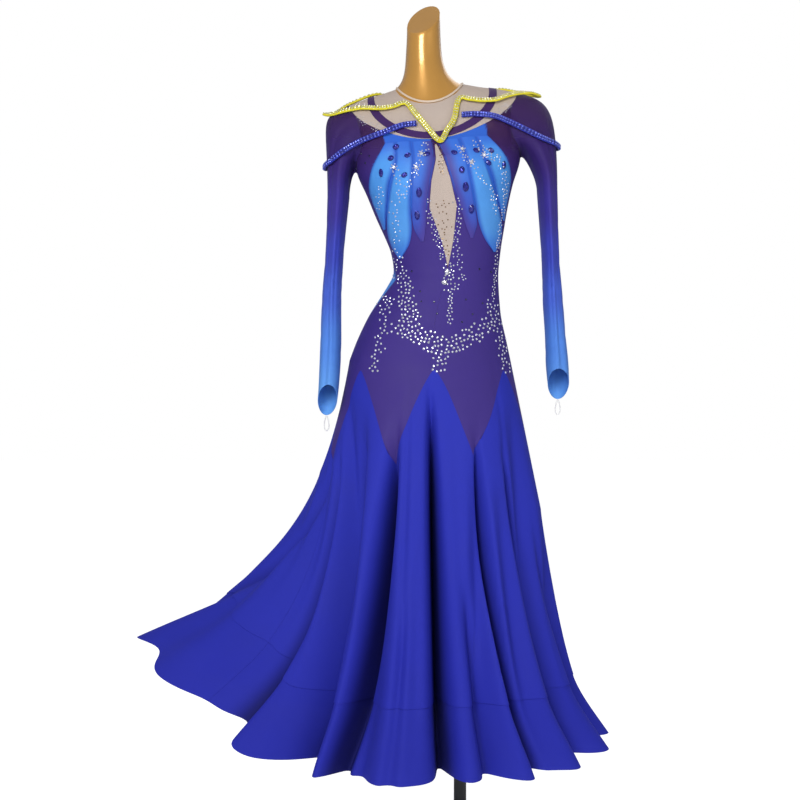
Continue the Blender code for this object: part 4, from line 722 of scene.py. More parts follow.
def join(tree, socket, value):
    """Set a socket to a number or a colour, or wire it to another socket."""
    if isinstance(value, bpy.types.NodeSocket):
        tree.links.new(value, socket)
    else:
        socket.default_value = value


def feed(tree, made, **inputs):
    """Join a node's inputs to what they are given. Their names have _ for a space."""
    for label, value in inputs.items():
        join(tree, made.inputs[label.replace("_", " ")], value)


def node(tree, kind, own=None, **inputs):
    """A node with its own settings and its inputs."""
    made = tree.nodes.new(kind)
    for key, value in (own or {}).items():
        setattr(made, key, value)
    feed(tree, made, **inputs)
    return made


def new_group(name, inputs, outputs):
    """An empty node group with its ends. Inputs are (name, kind, default) and outputs are (name, kind)."""
    group = bpy.data.node_groups.new(name, "ShaderNodeTree")
    for label, kind, default in inputs:
        socket = group.interface.new_socket(name=label, in_out="INPUT", socket_type="NodeSocket" + kind)
        if default is not None:
            socket.default_value = default
    for label, kind in outputs:
        group.interface.new_socket(name=label, in_out="OUTPUT", socket_type="NodeSocket" + kind)
    return group, group.nodes.new("NodeGroupInput").outputs, group.nodes.new("NodeGroupOutput")


def math_node(tree, operation, first, second):
    made = node(tree, "ShaderNodeMath", {"operation": operation})
    for socket, value in zip(made.inputs, (first, second)):
        join(tree, socket, value)
    return made.outputs[0]


def make_weave_group():
    """Height of a knit or crepe surface: fine crossed ribs with an uneven grain."""
    group, entry, leave = new_group("Cloth weave", (("Vector", "Vector", None), ("Ribs", "Float", 900.0),
                                                    ("Grain", "Float", 400.0), ("Grain Share", "Float", 0.5)),
                                    (("Height", "Float"),))
    ribs = []
    for direction in ("Z", "DIAGONAL"):
        wave = node(group, "ShaderNodeTexWave", {"wave_type": "BANDS", "bands_direction": direction},
                    Vector=entry["Vector"], Scale=entry["Ribs"], Distortion=1.2, Detail=1.0)
        ribs.append(wave.outputs["Fac"])
    grain = node(group, "ShaderNodeTexNoise", Vector=entry["Vector"], Scale=entry["Grain"], Detail=3.0)
    mixed = node(group, "ShaderNodeMix", {"data_type": "FLOAT"}, Factor=entry["Grain Share"],
                 A=math_node(group, "MULTIPLY", *ribs), B=grain.outputs["Fac"])
    feed(group, leave, Height=mixed.outputs["Result"])


def make_drift_group():
    """Colour with soft uneven patches, as dyed cloth has."""
    group, entry, leave = new_group("Dye drift", (("Vector", "Vector", None), ("Color", "Color", None),
                                                  ("Scale", "Float", 14.0), ("Amount", "Float", 0.10)),
                                    (("Color", "Color"), ("Patches", "Float")))
    patches = node(group, "ShaderNodeTexNoise", Vector=entry["Vector"], Scale=entry["Scale"],
                   Detail=4.0, Roughness=0.6).outputs["Fac"]
    doubled = math_node(group, "MULTIPLY", math_node(group, "SUBTRACT", patches, 0.5), 2.0)
    scaled = math_node(group, "MULTIPLY", doubled, entry["Amount"])
    tint = node(group, "ShaderNodeHueSaturation", Value=math_node(group, "ADD", scaled, 1.0),
                Color=entry["Color"])
    feed(group, leave, Color=tint.outputs["Color"], Patches=patches)


def group_outputs(tree, name, **inputs):
    return node(tree, "ShaderNodeGroup", {"node_tree": bpy.data.node_groups[name]}, **inputs).outputs


def blank_material(name, **inputs):
    """A material, its node tree, its shader and the object coordinates."""
    material = bpy.data.materials.new(name)
    material.use_nodes = True
    tree = material.node_tree
    shader = tree.nodes["Principled BSDF"]
    feed(tree, shader, **inputs)
    return material, tree, shader, node(tree, "ShaderNodeTexCoord").outputs["Object"]


def axes_of(tree, vector):
    return node(tree, "ShaderNodeSeparateXYZ", Vector=vector).outputs


def attribute(tree, label):
    return node(tree, "ShaderNodeAttribute", {"attribute_name": label}).outputs["Fac"]


def colour_ramp(tree, factor, stops):
    ramp = node(tree, "ShaderNodeValToRGB", Fac=factor)
    ramp.color_ramp.interpolation = "EASE"
    while len(ramp.color_ramp.elements) < len(stops):
        ramp.color_ramp.elements.new(0.5)
    for element, (place, colour) in zip(ramp.color_ramp.elements, stops):
        element.position = place
        element.color = colour
    return ramp.outputs["Color"]


def mix_colour(tree, factor, first, second):
    mix = node(tree, "ShaderNodeMix", {"data_type": "RGBA"})
    for label, value in (("Factor", factor), ("A", first), ("B", second)):
        join(tree, [socket for socket in mix.inputs if socket.name == label and socket.enabled][0], value)
    return [socket for socket in mix.outputs if socket.enabled][0]


def ranged(tree, value, low, high, start=0.0, end=1.0):
    """A number eased from start to end while the value goes from low to high."""
    return node(tree, "ShaderNodeMapRange", {"interpolation_type": "SMOOTHSTEP"}, Value=value, From_Min=low,
                From_Max=high, To_Min=start, To_Max=end).outputs["Result"]


def add_bump(tree, shader, height, strength, distance):
    bump = node(tree, "ShaderNodeBump", Strength=strength, Distance=distance, Height=height)
    feed(tree, shader, Normal=bump.outputs["Normal"])


def add_drift(tree, shader, vector, colour, scale, amount, low, high):
    """Uneven patches in the colour, and between two numbers in the roughness."""
    dye = group_outputs(tree, "Dye drift", Vector=vector, Color=colour, Scale=scale, Amount=amount)
    feed(tree, shader, Base_Color=dye["Color"], Roughness=ranged(tree, dye["Patches"], 0.3, 0.7, low, high))


def finish_cloth(tree, shader, vector, colour, weave, strength, drift=0.08, drift_scale=14.0):
    """Dye drift on the colour, weave in the normal and uneven roughness."""
    base = shader.inputs["Roughness"].default_value
    add_drift(tree, shader, vector, colour, drift_scale, drift, base - 0.06, base + 0.06)
    ribs, grain, grain_share = weave
    woven = group_outputs(tree, "Cloth weave", Vector=vector, Ribs=ribs, Grain=grain,
                          Grain_Share=grain_share)
    add_bump(tree, shader, woven["Height"], strength, 0.0004)


def stretch_material(name):
    """Stretch cloth of the body: sheer where it nears the shoulder, light blue where leaves are dyed in at
    the waist, and blue between and above the leaf panels, darker there as painted shade of the seams between
    them.
    """
    look = settings()
    material, tree, shader, vector = blank_material(
        name, Roughness=0.62, Sheen_Weight=0.10, Sheen_Roughness=0.4, Sheen_Tint=srgb(120, 100, 220),
        Specular_IOR_Level=0.2)
    height, bed = axes_of(tree, vector)["Z"], attribute(tree, "leaf_bed")
    colour = mix_colour(tree, ranged(tree, height, 1.30, 1.40), look.purple, look.violet)
    # Blue between and above the leaf panels: the dress's own blue, in a darker tone that is painted shade of
    # the seams between the leaves.
    colour = mix_colour(tree, bed, colour, srgb(46, 98, 202))
    colour = mix_colour(tree, attribute(tree, "side_leaf"), colour, look.sky)
    finish_cloth(tree, shader, vector, colour, STRETCH_WEAVE, 0.35)
    sheer = math_node(tree, "MULTIPLY", ranged(tree, height, 1.33, 1.42, 0.0, 0.45),
                      math_node(tree, "SUBTRACT", 1.0, bed))
    feed(tree, shader, Alpha=math_node(tree, "SUBTRACT", 1.0, sheer))
    return material


def sleeve_material(name):
    """Sleeve cloth: purple and sheer at the shoulder, shaded to light blue at the cuff."""
    look = settings()
    material, tree, shader, vector = blank_material(
        name, Roughness=0.60, Sheen_Weight=0.10, Sheen_Roughness=0.4, Sheen_Tint=srgb(150, 170, 250),
        Specular_IOR_Level=0.2)
    height = axes_of(tree, vector)["Z"]
    up_arm = node(tree, "ShaderNodeMapRange", Value=height, From_Min=0.86, From_Max=1.46)
    stops = ((0.0, look.cuff), (0.22, srgb(80, 132, 222)), (0.38, srgb(70, 98, 206)),
             (0.52, srgb(60, 70, 182)), (0.66, srgb(60, 50, 146)), (0.82, srgb(56, 36, 112)),
             (1.0, look.violet))
    colour = colour_ramp(tree, up_arm.outputs["Result"], stops)
    finish_cloth(tree, shader, vector, colour, STRETCH_WEAVE, 0.35)
    feed(tree, shader, Alpha=ranged(tree, height, 1.28, 1.46, 1.0, 0.72))
    return material


def skirt_material(name, alpha):
    """Royal blue crepe with a dry grain, darkened by painted shade in the valleys. The hem band is a little
    sheer.
    """
    material, tree, shader, vector = blank_material(
        name, Roughness=0.70, Sheen_Weight=0.08, Sheen_Roughness=0.5, Sheen_Tint=srgb(70, 80, 230),
        Specular_IOR_Level=0.12, Alpha=alpha)
    up_skirt = ranged(tree, axes_of(tree, vector)["Z"], 0.24, 0.90)
    colour = mix_colour(tree, up_skirt, srgb(40, 46, 164), settings().royal)
    # Painted shade: deep in the narrow valleys the colour goes towards near black blue.
    painted_shade_share = ranged(tree, attribute(tree, "valley"), 0.10, 1.0, 0.0, 0.85)
    colour = mix_colour(tree, painted_shade_share, colour, srgb(16, 16, 74))
    finish_cloth(tree, shader, vector, colour, CREPE_WEAVE, 0.45, 0.07, 9.0)
    return material


def leaf_material(name, stops, inner_side, keyhole_side_dye_and_shade, shade_width):
    """Leaf panel: a ramp from tip to top, a colour along the side towards the keyhole, which is the dye's
    fade to plum on the inner leaves and painted shade on the others, and painted shade along the outer edge.
    """
    material, tree, shader, vector = blank_material(
        name, Roughness=0.50, Sheen_Weight=0.10, Sheen_Roughness=0.35, Specular_IOR_Level=0.3)
    uv = axes_of(tree, node(tree, "ShaderNodeUVMap", {"uv_map": "Cloth"}).outputs["UV"])
    rightward = uv["X"]
    leftward = math_node(tree, "SUBTRACT", 1.0, rightward)
    inward, outward = (leftward, rightward) if inner_side > 0 else (rightward, leftward)
    # Towards the keyhole: the inner leaves' fade to plum dye, and painted shade on the middle and outer
    # leaves.
    colour = mix_colour(tree, ranged(tree, inward, 1.0 - shade_width, 1.0, 0.0, 0.9),
                        colour_ramp(tree, uv["Y"], stops), keyhole_side_dye_and_shade)
    # Painted shade along the outer edge of the leaf.
    colour = mix_colour(tree, ranged(tree, outward, 0.86, 1.0, 0.0, 0.7), colour, srgb(36, 76, 182))
    finish_cloth(tree, shader, vector, colour, STRETCH_WEAVE, 0.30, 0.12, 24.0)
    return material


def mesh_material(name):
    """Fine nude mesh, seen through a little."""
    material, tree, shader, vector = blank_material(name, Roughness=0.75, Sheen_Weight=0.08,
                                                    Specular_IOR_Level=0.2)
    finish_cloth(tree, shader, vector, settings().mesh, MESH_WEAVE, 0.3, 0.05)
    holes = node(tree, "ShaderNodeTexVoronoi", {"feature": "DISTANCE_TO_EDGE"}, Vector=vector, Scale=1500.0)
    feed(tree, shader, Alpha=ranged(tree, holes.outputs["Distance"], 0.02, 0.30, 0.90, 0.60))
    return material


def plain_cloth_material(name, colour, roughness):
    material, tree, shader, vector = blank_material(name, Roughness=roughness, Sheen_Weight=0.05,
                                                    Specular_IOR_Level=0.25)
    finish_cloth(tree, shader, vector, colour, PLAIN_WEAVE, 0.4, 0.06)
    return material


def stone_material(name, colour, roughness, metallic, cell=260.0, spread_of_tone=0.28):
    """Foil-backed stone: its colour varies from stone to stone, under a clear coat."""
    material, tree, shader, vector = blank_material(name, Roughness=roughness, Metallic=metallic,
                                                    Coat_Weight=0.8, Coat_Roughness=0.03, IOR=1.6)
    cells = node(tree, "ShaderNodeTexVoronoi", Vector=vector, Scale=cell)
    tone = node(tree, "ShaderNodeSeparateColor", Color=cells.outputs["Color"]).outputs
    value = ranged(tree, tone[0], 0.0, 1.0, 1.0 - spread_of_tone, 1.0 + spread_of_tone)
    tint = node(tree, "ShaderNodeHueSaturation", Color=colour, Value=value)
    feed(tree, shader, Base_Color=tint.outputs["Color"],
         Roughness=ranged(tree, tone[1], 0.0, 1.0, roughness * 0.6, roughness * 1.6))
    facets = node(tree, "ShaderNodeTexVoronoi", Vector=vector, Scale=330.0)
    add_bump(tree, shader, facets.outputs["Distance"], 0.7, 0.0010)
    return material


def gold_material(name):
    """Gold coat of the form, with faint rub marks in its gloss."""
    material, tree, shader, vector = blank_material(name, Roughness=0.26, Metallic=0.35, Coat_Weight=0.7,
                                                    Coat_Roughness=0.10)
    add_drift(tree, shader, vector, settings().gold, 8.0, 0.08, 0.22, 0.29)
    return material


def metal_material(name):
    material, tree, shader, vector = blank_material(name, Roughness=0.38, Metallic=0.7, Coat_Weight=0.3)
    add_drift(tree, shader, vector, settings().metal, 30.0, 0.12, 0.30, 0.46)
    grain = node(tree, "ShaderNodeTexNoise", Vector=vector, Scale=900.0)
    add_bump(tree, shader, grain.outputs["Fac"], 0.15, 0.0003)
    return material


def material_of(name, maker, *values):
    return bpy.data.materials.get(name) or maker(name, *values)


# Cloth pieces

def leaf_bed_share(angle, level):
    """How far the cloth between and above the leaf panels is blue at a place of the front, in a darker tone
    that is painted shade of the seams between the leaves.
    """
    if level < LEAF_BED_LOW_LEVEL or abs(angle) > 89.0:
        return 0.0
    x, _y, height, _centre = ring_point(ring_sizes(level), angle)
    x, row = abs(x), min(height, PETALS["inner"][-1][0])
    inner, outer = read_table(PETALS["inner"], row)[0], read_table(PETALS["outer"], row)[1]
    across = smoothstep(inner - 0.002, inner + 0.001, x) * (1.0 - smoothstep(outer - 0.002, outer, x))
    return across * smoothstep(*LEAF_BED_START, height)


def side_leaf_share(angle, level):
    """How far the cloth at the waist's side is light blue: a slanted leaf that runs round to the back."""
    middle, reach = SIDE_LEAF_RIGHT if angle > 0.0 else SIDE_LEAF_LEFT
    past_middle = turn_between(-abs(angle), -middle)
    along = abs(past_middle) / reach
    if along > 1.0:
        return 0.0
    wide = SIDE_LEAF_HALF_HEIGHT * (1.0 - along * along)
    off = abs(level - SIDE_LEAF_LEVEL - SIDE_LEAF_SLANT * past_middle)
    return 1.0 - smoothstep(max(wide - 0.5, 0.0), wide + 0.05, off)


def body_grid(front, side):
    """Points and places of a body panel, left to right as seen from outside, bottom to top."""
    rows, tip_columns, side_columns = BODY_GRID
    tip = (TIP_RIGHT if side > 0 else TIP_LEFT) if front else TIP_BACK
    bases = spread(0.0, tip, tip_columns) + spread(tip, 90.0, side_columns)[1:]
    angles = [side * base if front else side * (180.0 - base) for base in bases]
    if (side > 0) != front:
        angles = angles[::-1]
    grid, places = [], []
    for share in spread(0.0, 1.0, rows):
        line = []
        for base_angle in angles:
            place = panel_place(base_angle, front, side, share)
            point = garment_point(*place)
            crease = body_crease(*place)
            if abs(crease) > 1e-5:
                point += garment_normal(*place) * crease
            line.append(point)
            places.append(place)
        grid.append(line)
    return grid, places


class DRESS_OT_body(bpy.types.Operator):
    """Make the four stretch body panels"""
    bl_idname = "dress.body"
    bl_label = "Body panels"

    def execute(self, context):
        material = material_of("Purple stretch cloth", stretch_material)
        for side_name, side in (("left", -1.0), ("right", 1.0)):
            for face in ("front", "back"):
                name = "body_%s_%s" % (face, side_name)
                grid, places = body_grid(face == "front", side)
                piece = cloth_wall(name, grid, material, "purple_stretch")
                # Blue between the leaf panels, darker as painted shade of their seams, on the front panels
                # only
                write_shares(piece, "leaf_bed", [leaf_bed_share(*place) if face == "front" else 0.0
                                                 for place in places])
                write_shares(piece, "side_leaf", [side_leaf_share(*place) for place in places])
        return {"FINISHED"}


class DRESS_OT_keyhole(bpy.types.Operator):
    """Make the mesh kite of the keyhole"""
    bl_idname = "dress.keyhole"
    bl_label = "Keyhole mesh"

    def execute(self, context):
        rows, columns = KEYHOLE_GRID
        low = zigzag_level(0.0)
        levels = [low + (YOKE_LEVEL - low) * share for share in spread(0.0, 1.0, rows)]
        levels = [level for level in levels if keyhole_angle(level) > KEYHOLE_LEAST_ANGLE]
        grid = [[garment_point(keyhole_angle(level) * across, level) for across in spread(-1.0, 1.0, columns)]
                for level in levels]
        cloth_wall("keyhole", grid, material_of("Nude mesh", mesh_material), "nude_mesh", "keyhole_insert",
                   thickness=MESH_CLOTH, gap=2.0 * SEAM_GAP)
        return {"FINISHED"}


class DRESS_OT_yoke(bpy.types.Operator):
    """Make the two mesh yokes, the neck binding and the dark band on them"""
    bl_idname = "dress.yoke"
    bl_label = "Yoke and neckline"

    def execute(self, context):
        mesh = material_of("Nude mesh", mesh_material)
        rows, columns = YOKE_GRID
        for name, start in (("yoke_front", -90.0), ("yoke_back", 90.0)):
            grid = [[garment_point(angle, level) for angle in spread(start, start + 180.0, columns)]
                    for level in spread(YOKE_LEVEL + 0.004, NECK_LEVEL, rows)]
            cloth_wall(name, grid, mesh, "nude_mesh", thickness=MESH_CLOTH)
        grid = [[] for _ in BINDING_RISES]
        for angle in spread(0.0, 360.0, BINDING_COLUMNS)[:-1]:
            edge = garment_point(angle, NECK_LEVEL)
            along = (form_neck_point(angle) - edge).normalized()
            across = garment_point(angle + 0.5, NECK_LEVEL) - garment_point(angle - 0.5, NECK_LEVEL)
            out = across.cross(along).normalized()
            start = edge + along * BINDING_START + out * BINDING_STAND
            for line, rise in zip(grid, BINDING_RISES):
                line.append(start + along * rise)
        elastic = material_of("Nude elastic", plain_cloth_material, srgb(208, 190, 172), 0.7)
        cloth_wall("neck_binding", grid, elastic, "nude_mesh", wrap=True, thickness=BINDING_CLOTH, gap=0.0)
        grid = []
        rows, columns = BAND_GRID
        for edge in spread(0.0, 1.0, rows):
            line = []
            for angle in spread(0.0, 360.0, columns)[:-1]:
                side = abs(math.sin(math.radians(angle))) ** 2.4
                low = BAND_LOW_FRONT + (BAND_LOW_SIDE - BAND_LOW_FRONT) * side
                rise = BAND_RISE_FRONT + (BAND_RISE_SIDE - BAND_RISE_FRONT) * side
                line.append(garment_point(angle, low + rise * edge))
            grid.append(line)
        band = material_of("Purple band", plain_cloth_material, settings().violet, 0.6)
        cloth_wall("neckline_band", grid, band, "purple_stretch", wrap=True, thickness=MESH_CLOTH,
                   lift=BAND_LIFT)
        return {"FINISHED"}


class DRESS_OT_leaves(bpy.types.Operator):
    """Make the six light blue leaf panels of the bodice"""
    bl_idname = "dress.leaves"
    bl_label = "Leaf panels"

    def execute(self, context):
        sky, azure = settings().sky, settings().azure
        # dark is painted shade along the keyhole side of the middle and outer leaves; plum is the inner
        # leaves' own fade of dye.
        dark, plum = srgb(40, 84, 190), srgb(66, 54, 144)
        finishes = {
            "inner": (((0.0, plum), (0.25, srgb(58, 84, 188)), (0.75, srgb(56, 112, 212)), (1.0, azure)),
                      plum, 0.65),
            "middle": (((0.0, srgb(62, 122, 218)), (0.22, srgb(84, 156, 232)), (0.60, sky), (1.0, azure)),
                       dark, 0.22),
            "outer": (((0.0, srgb(64, 128, 222)), (0.35, sky), (0.75, sky), (1.0, azure)), dark, 0.25),
        }
        rows, columns = LEAF_GRID
        for side, sign in (("left", -1.0), ("right", 1.0)):
            for kind, outline in PETALS.items():
                grid = []
                for height in spread(outline[0][0], outline[-1][0], rows):
                    inner, outer = read_table(outline, height)
                    line = []
                    for share in spread(0.0, 1.0, columns):
                        place = front_place(sign * (inner + (outer - inner) * share), height)
                        puff = LEAF_PUFF * math.sin(math.pi * share) ** 0.6
                        line.append(garment_point(*place) + garment_normal(*place) * (LEAF_LIFT + puff))
                    grid.append(line if sign > 0 else line[::-1])
                stops, keyhole_side_dye_and_shade, shade_width = finishes[kind]
                material = material_of("Leaf cloth %s %s" % (side, kind), leaf_material, stops, sign,
                                       keyhole_side_dye_and_shade, shade_width)
                cloth_wall("petal_%s_%s" % (side, kind), grid, material, "sky_satin", thickness=LEAF_CLOTH,
                           gap=2.0 * SEAM_GAP)
        return {"FINISHED"}


def armhole_loop(side, columns):
    """Points of the armhole and the way that the cloth leaves it, from the underarm by the front to the back.

    The whole numbers from 0 to 16 round the loop are the solid sleeve's columns: 1 to 6 up the front edge,
    7 to 9 over the shoulder, and 10 to 15 down the back edge.
    """
    sign = 1.0 if side == "right" else -1.0
    low = zigzag_level(sign * 90.0)
    edge = [low + (YOKE_LEVEL - low) * share for share in ARMHOLE_MARKS]
    levels = edge + [YOKE_LEVEL] * len(SHOULDER_ANGLES) + edge[:0:-1]
    places = []
    for column in range(columns):
        place = SOLID_COLUMNS * column / columns
        low_mark, share = int(place), place - int(place)
        first, second = levels[low_mark], levels[(low_mark + 1) % SOLID_COLUMNS]
        level = first + (second - first) * share
        if 6 <= low_mark <= 9:
            start = armhole_angle(YOKE_LEVEL) if low_mark == 6 else SHOULDER_ANGLES[low_mark - 7]
            end = 180.0 - armhole_angle(YOKE_LEVEL) if low_mark == 9 else SHOULDER_ANGLES[low_mark - 6]
            angle = start + (end - start) * share
        else:
            angle = armhole_angle(level) if place < 8.0 else 180.0 - armhole_angle(level)
        places.append((sign * angle, level))
    points = [garment_point(*place) for place in places]
    middle = sum(points, Vector((0.0, 0.0, 0.0))) / len(points)
    loop = []
    step = max(1, columns // SOLID_COLUMNS)
    for index, (angle, level) in enumerate(places):
        on_shoulder = level > YOKE_LEVEL - 0.001
        out = garment_normal(angle, YOKE_LEVEL + 0.1 if on_shoulder else level)
        tangent = points[(index + step) % columns] - points[index - step]
        leave = out.cross(tangent).normalized()
        if leave.dot(middle - points[index]) < 0.0:
            leave = -leave
        loop.append((points[index], (leave + out * (0.0 if on_shoulder else SLEEVE_STAND)).normalized()))
    for _ in range(2):
        loop = [(point, (loop[index - 1][1] + way * 2.0 + loop[(index + 1) % columns][1]).normalized())
                for index, (point, way) in enumerate(loop)]
    return loop


def sleeve_ring(side, height, turn):
    """A point of the hanging sleeve: turn 0 at the body, 90 in front, 180 outside, 270 behind."""
    centre_x, half_width, centre_y, half_depth = read_table(SLEEVE_ROWS[side], height)
    sign = 1.0 if side == "right" else -1.0
    angle = math.radians(turn)
    trough = FRONT_PLEAT * math.exp(-((turn - FRONT_PLEAT_TURN) / FRONT_PLEAT_WIDTH) ** 2)
    share = settings().crease_share
    for crease_turn, half_turn, depth, middle, half_length in SLEEVE_CREASES:
        off, along = turn_between(turn, crease_turn) / half_turn, (height - middle) / half_length
        trough += share * depth * math.exp(-off * off - along * along)
    for start, rise, half_length, depth in SLEEVE_WRINKLES:
        along = (height - start - rise * (1.0 - math.cos(angle))) / half_length
        trough += share * depth * math.exp(-along * along)
    x_in = trough * half_width / (half_width + half_depth) * 1.4
    return Vector((centre_x - sign * (half_width - x_in) * math.cos(angle),
                   centre_y - (half_depth - trough) * math.sin(angle), height))


class DRESS_OT_sleeves(bpy.types.Operator):
    """Make the two shaded sleeves"""
    bl_idname = "dress.sleeves"
    bl_label = "Sleeves"

    def execute(self, context):
        material = material_of("Shaded sleeve cloth", sleeve_material)
        head_rows, arm_rows, columns = SLEEVE_GRID
        for side in ("left", "right"):
            top, grid = SLEEVE_TOP[side], []
            loop = armhole_loop(side, columns)
            for row in range(head_rows + arm_rows + 1):
                line = []
                for column, (start, leave) in enumerate(loop):
                    turn = 360.0 * column / columns
                    if row <= head_rows:
                        foot = sleeve_ring(side, top, turn)
                        pull_out, pull_up = read_table(HEAD_PULL, turn if turn <= 180.0 else 360.0 - turn)
                        a, b = start + leave * 0.0007, start + leave * pull_out
                        c, t = foot + Vector((0.0, 0.0, pull_up)), row / head_rows
                        line.append(a * (1 - t) ** 3 + b * 3 * t * (1 - t) ** 2 + c * 3 * t ** 2 * (1 - t)
                                    + foot * t ** 3)
                    else:
                        end = CUFF_MIDDLE[side] + CUFF_SLANT * math.sin(math.radians(turn))
                        line.append(sleeve_ring(side, top + (end - top) * (row - head_rows) / arm_rows, turn))
                grid.append(line[::-1] if side == "right" else line)
            cloth_wall("sleeve_" + side, grid, material, "purple_stretch", wrap=True, gap=0.0,
                       thickness=SLEEVE_CLOTH)
        return {"FINISHED"}


class DRESS_OT_skirt(bpy.types.Operator):
    """Make the six gores of the skirt and the two hem bands"""
    bl_idname = "dress.skirt"
    bl_label = "Skirt gores and hem"

    def cloth_at(self, name, places, columns, material, **wall):
        """Cloth on a grid of places, with the painted shade of the valleys at each."""
        points = [garment_point(*place) for place in places]
        grid = [points[start:start + columns] for start in range(0, len(points), columns)]
        piece = cloth_wall(name, grid, material, "royal_crepe", **wall)
        write_shares(piece, "valley", [valley_painted_shade(*place) for place in places])

    def execute(self, context):
        crepe = material_of("Royal crepe", skirt_material, 1.0)
        sheer = material_of("Royal hem crepe", skirt_material, 0.97)
        back_right, back_left = 180.0 - TIP_BACK, 180.0 + TIP_BACK
        gores = (("gore_front", -TIP_LEFT, TIP_RIGHT), ("gore_front_right", TIP_RIGHT, 90.0),
                 ("gore_back_right", 90.0, back_right), ("gore_back", back_right, back_left),
                 ("gore_back_left", back_left, 270.0), ("gore_front_left", -90.0, -TIP_LEFT))
        for name, first, last in gores:
            columns = int((last - first) / GORE_COLUMN_ANGLE)
            places = []
            for row in spread(1.0, 0.0, GORE_ROWS):
                for angle in spread(first, last, columns):
                    top = zigzag_level(angle)
                    places.append((angle, top - (BAND_START * SKIRT_LEVELS + top) * row))
            self.cloth_at(name, places, columns + 1, crepe)
        rows, columns = HEM_GRID
        for name, first, last in (("hem_band_front", -90.0, 90.0), ("hem_band_back", 90.0, 270.0)):
            places = [(angle, -share * SKIRT_LEVELS) for share in spread(1.0, BAND_START - BAND_TUCK, rows)
                      for angle in spread(first, last, columns)]
            self.cloth_at(name, places, columns + 1, sheer, thickness=HEM_CLOTH, lift=HEM_LIFT)
        return {"FINISHED"}


# Shoulder strips

def curve_through(points, count, closed):
    """Evenly counted points on a smooth curve through a route's own points."""
    total = len(points)
    spans = total if closed else total - 1
    samples = []
    for index in range(count if closed else count + 1):
        place = spans * index / count
        low = min(int(place), spans - 1)
        t = place - low
        p = [points[(low + k) % total if closed else min(max(low + k, 0), total - 1)] for k in (-1, 0, 1, 2)]
        bend = 2.0 * p[0] - 5.0 * p[1] + 4.0 * p[2] - p[3]
        twist = 3.0 * p[1] - p[0] - 3.0 * p[2] + p[3]
        samples.append(0.5 * (2.0 * p[1] + (p[2] - p[0]) * t + bend * t ** 2 + twist * t ** 3))
    return samples


def step_along(points, index, closed):
    """From the point before one to the point after it, or from or to itself at an open end."""
    before = points[index - 1] if closed or index > 0 else points[index]
    after = points[(index + 1) % len(points)] if closed or index < len(points) - 1 else points[index]
    return after - before


def strip_stations(route, count, closed, layers):
    """Points and outward directions along a strip, lifted clear of the cloth under its whole width."""
    points, outs = [], []
    for x, y, z, way_name, clearance in route:
        way = Vector(WAYS[way_name]).normalized()
        place = first_hit(layers, Vector((x, y, z)), way, 0.25)[0] or Vector((x, y, z))
        points.append(place - way * (clearance + STRIP_THICKNESS / 2.0))
        outs.append(-way)
    points = curve_through(points, count, closed)
    outs = [out.normalized() for out in curve_through(outs, count, closed)]
    lifts = []
    for index, (point, out) in enumerate(zip(points, outs)):
        wide = out.cross(step_along(points, index, closed)).normalized()
        need = 0.0
        for across in (-0.6, -0.3, 0.0, 0.3, 0.6):
            edge = point + wide * (STRIP_WIDTH * across)
            under = first_hit(layers, edge, -out, 0.03)[0]
            if under is not None:
                need = max(need, (under - edge).dot(out) + STRIP_THICKNESS / 2.0 + STRIP_CLEARANCE)
        lifts.append(need)
    for _ in range(3):
        widest = [max(lifts[index - 1], lift, lifts[(index + 1) % len(lifts)])
                  for index, lift in enumerate(lifts)]
        lifts = [max(lift, (lift + wide) / 2.0) for lift, wide in zip(lifts, widest)]
    return [point + out * lift for point, out, lift in zip(points, outs, lifts)], outs


def strip_frames(points, outs, closed):
    """Frames of (point, along, wide, thick) at the stations of a strip."""
    frames = []
    for index, (point, out) in enumerate(zip(points, outs)):
        along = step_along(points, index, closed).normalized()
        wide = out.cross(along).normalized()
        frames.append((point, along, wide, along.cross(wide).normalized()))
    return frames


def correct_normals(piece):
    bm = bmesh.new()
    bm.from_mesh(piece.data)
    bmesh.ops.recalc_face_normals(bm, faces=bm.faces)
    bm.to_mesh(piece.data)
    bm.free()
    return piece


def sweep(name, frames, closed, material, width, thickness, sides, power=1.0):
    """An oval bar swept along frames of (point, along, wide, thick)."""
    count = len(frames)
    points, faces = [], []
    for point, _along, wide, thick in frames:
        for side in range(sides):
            turn = 2.0 * math.pi * (side + 0.5) / sides
            across, up = math.cos(turn), math.sin(turn)
            points.append(point + wide * (width / 2.0 * math.copysign(abs(across) ** power, across))
                          + thick * (thickness / 2.0 * math.copysign(abs(up) ** power, up)))
    for index in range(count if closed else count - 1):
        for side in range(sides):
            a, b = index * sides + side, index * sides + (side + 1) % sides
            c = ((index + 1) % count) * sides
            faces.append((a, c + a % sides, c + b % sides, b))
    if not closed:
        faces.append(tuple(range(sides)))
        faces.append(tuple(range((count - 1) * sides, count * sides))[::-1])
    return correct_normals(add_mesh(name, points, faces, material))


def edit_faces(piece, chosen):
    """Go to edit mode with only those faces of a piece selected that pass a test."""
    bpy.ops.object.mode_set(mode="EDIT")
    bpy.ops.mesh.select_mode(type="FACE")
    bpy.ops.mesh.select_all(action="DESELECT")
    bpy.ops.object.mode_set(mode="OBJECT")
    for face in piece.data.polygons:
        face.select = chosen(face)
    bpy.ops.object.mode_set(mode="EDIT")


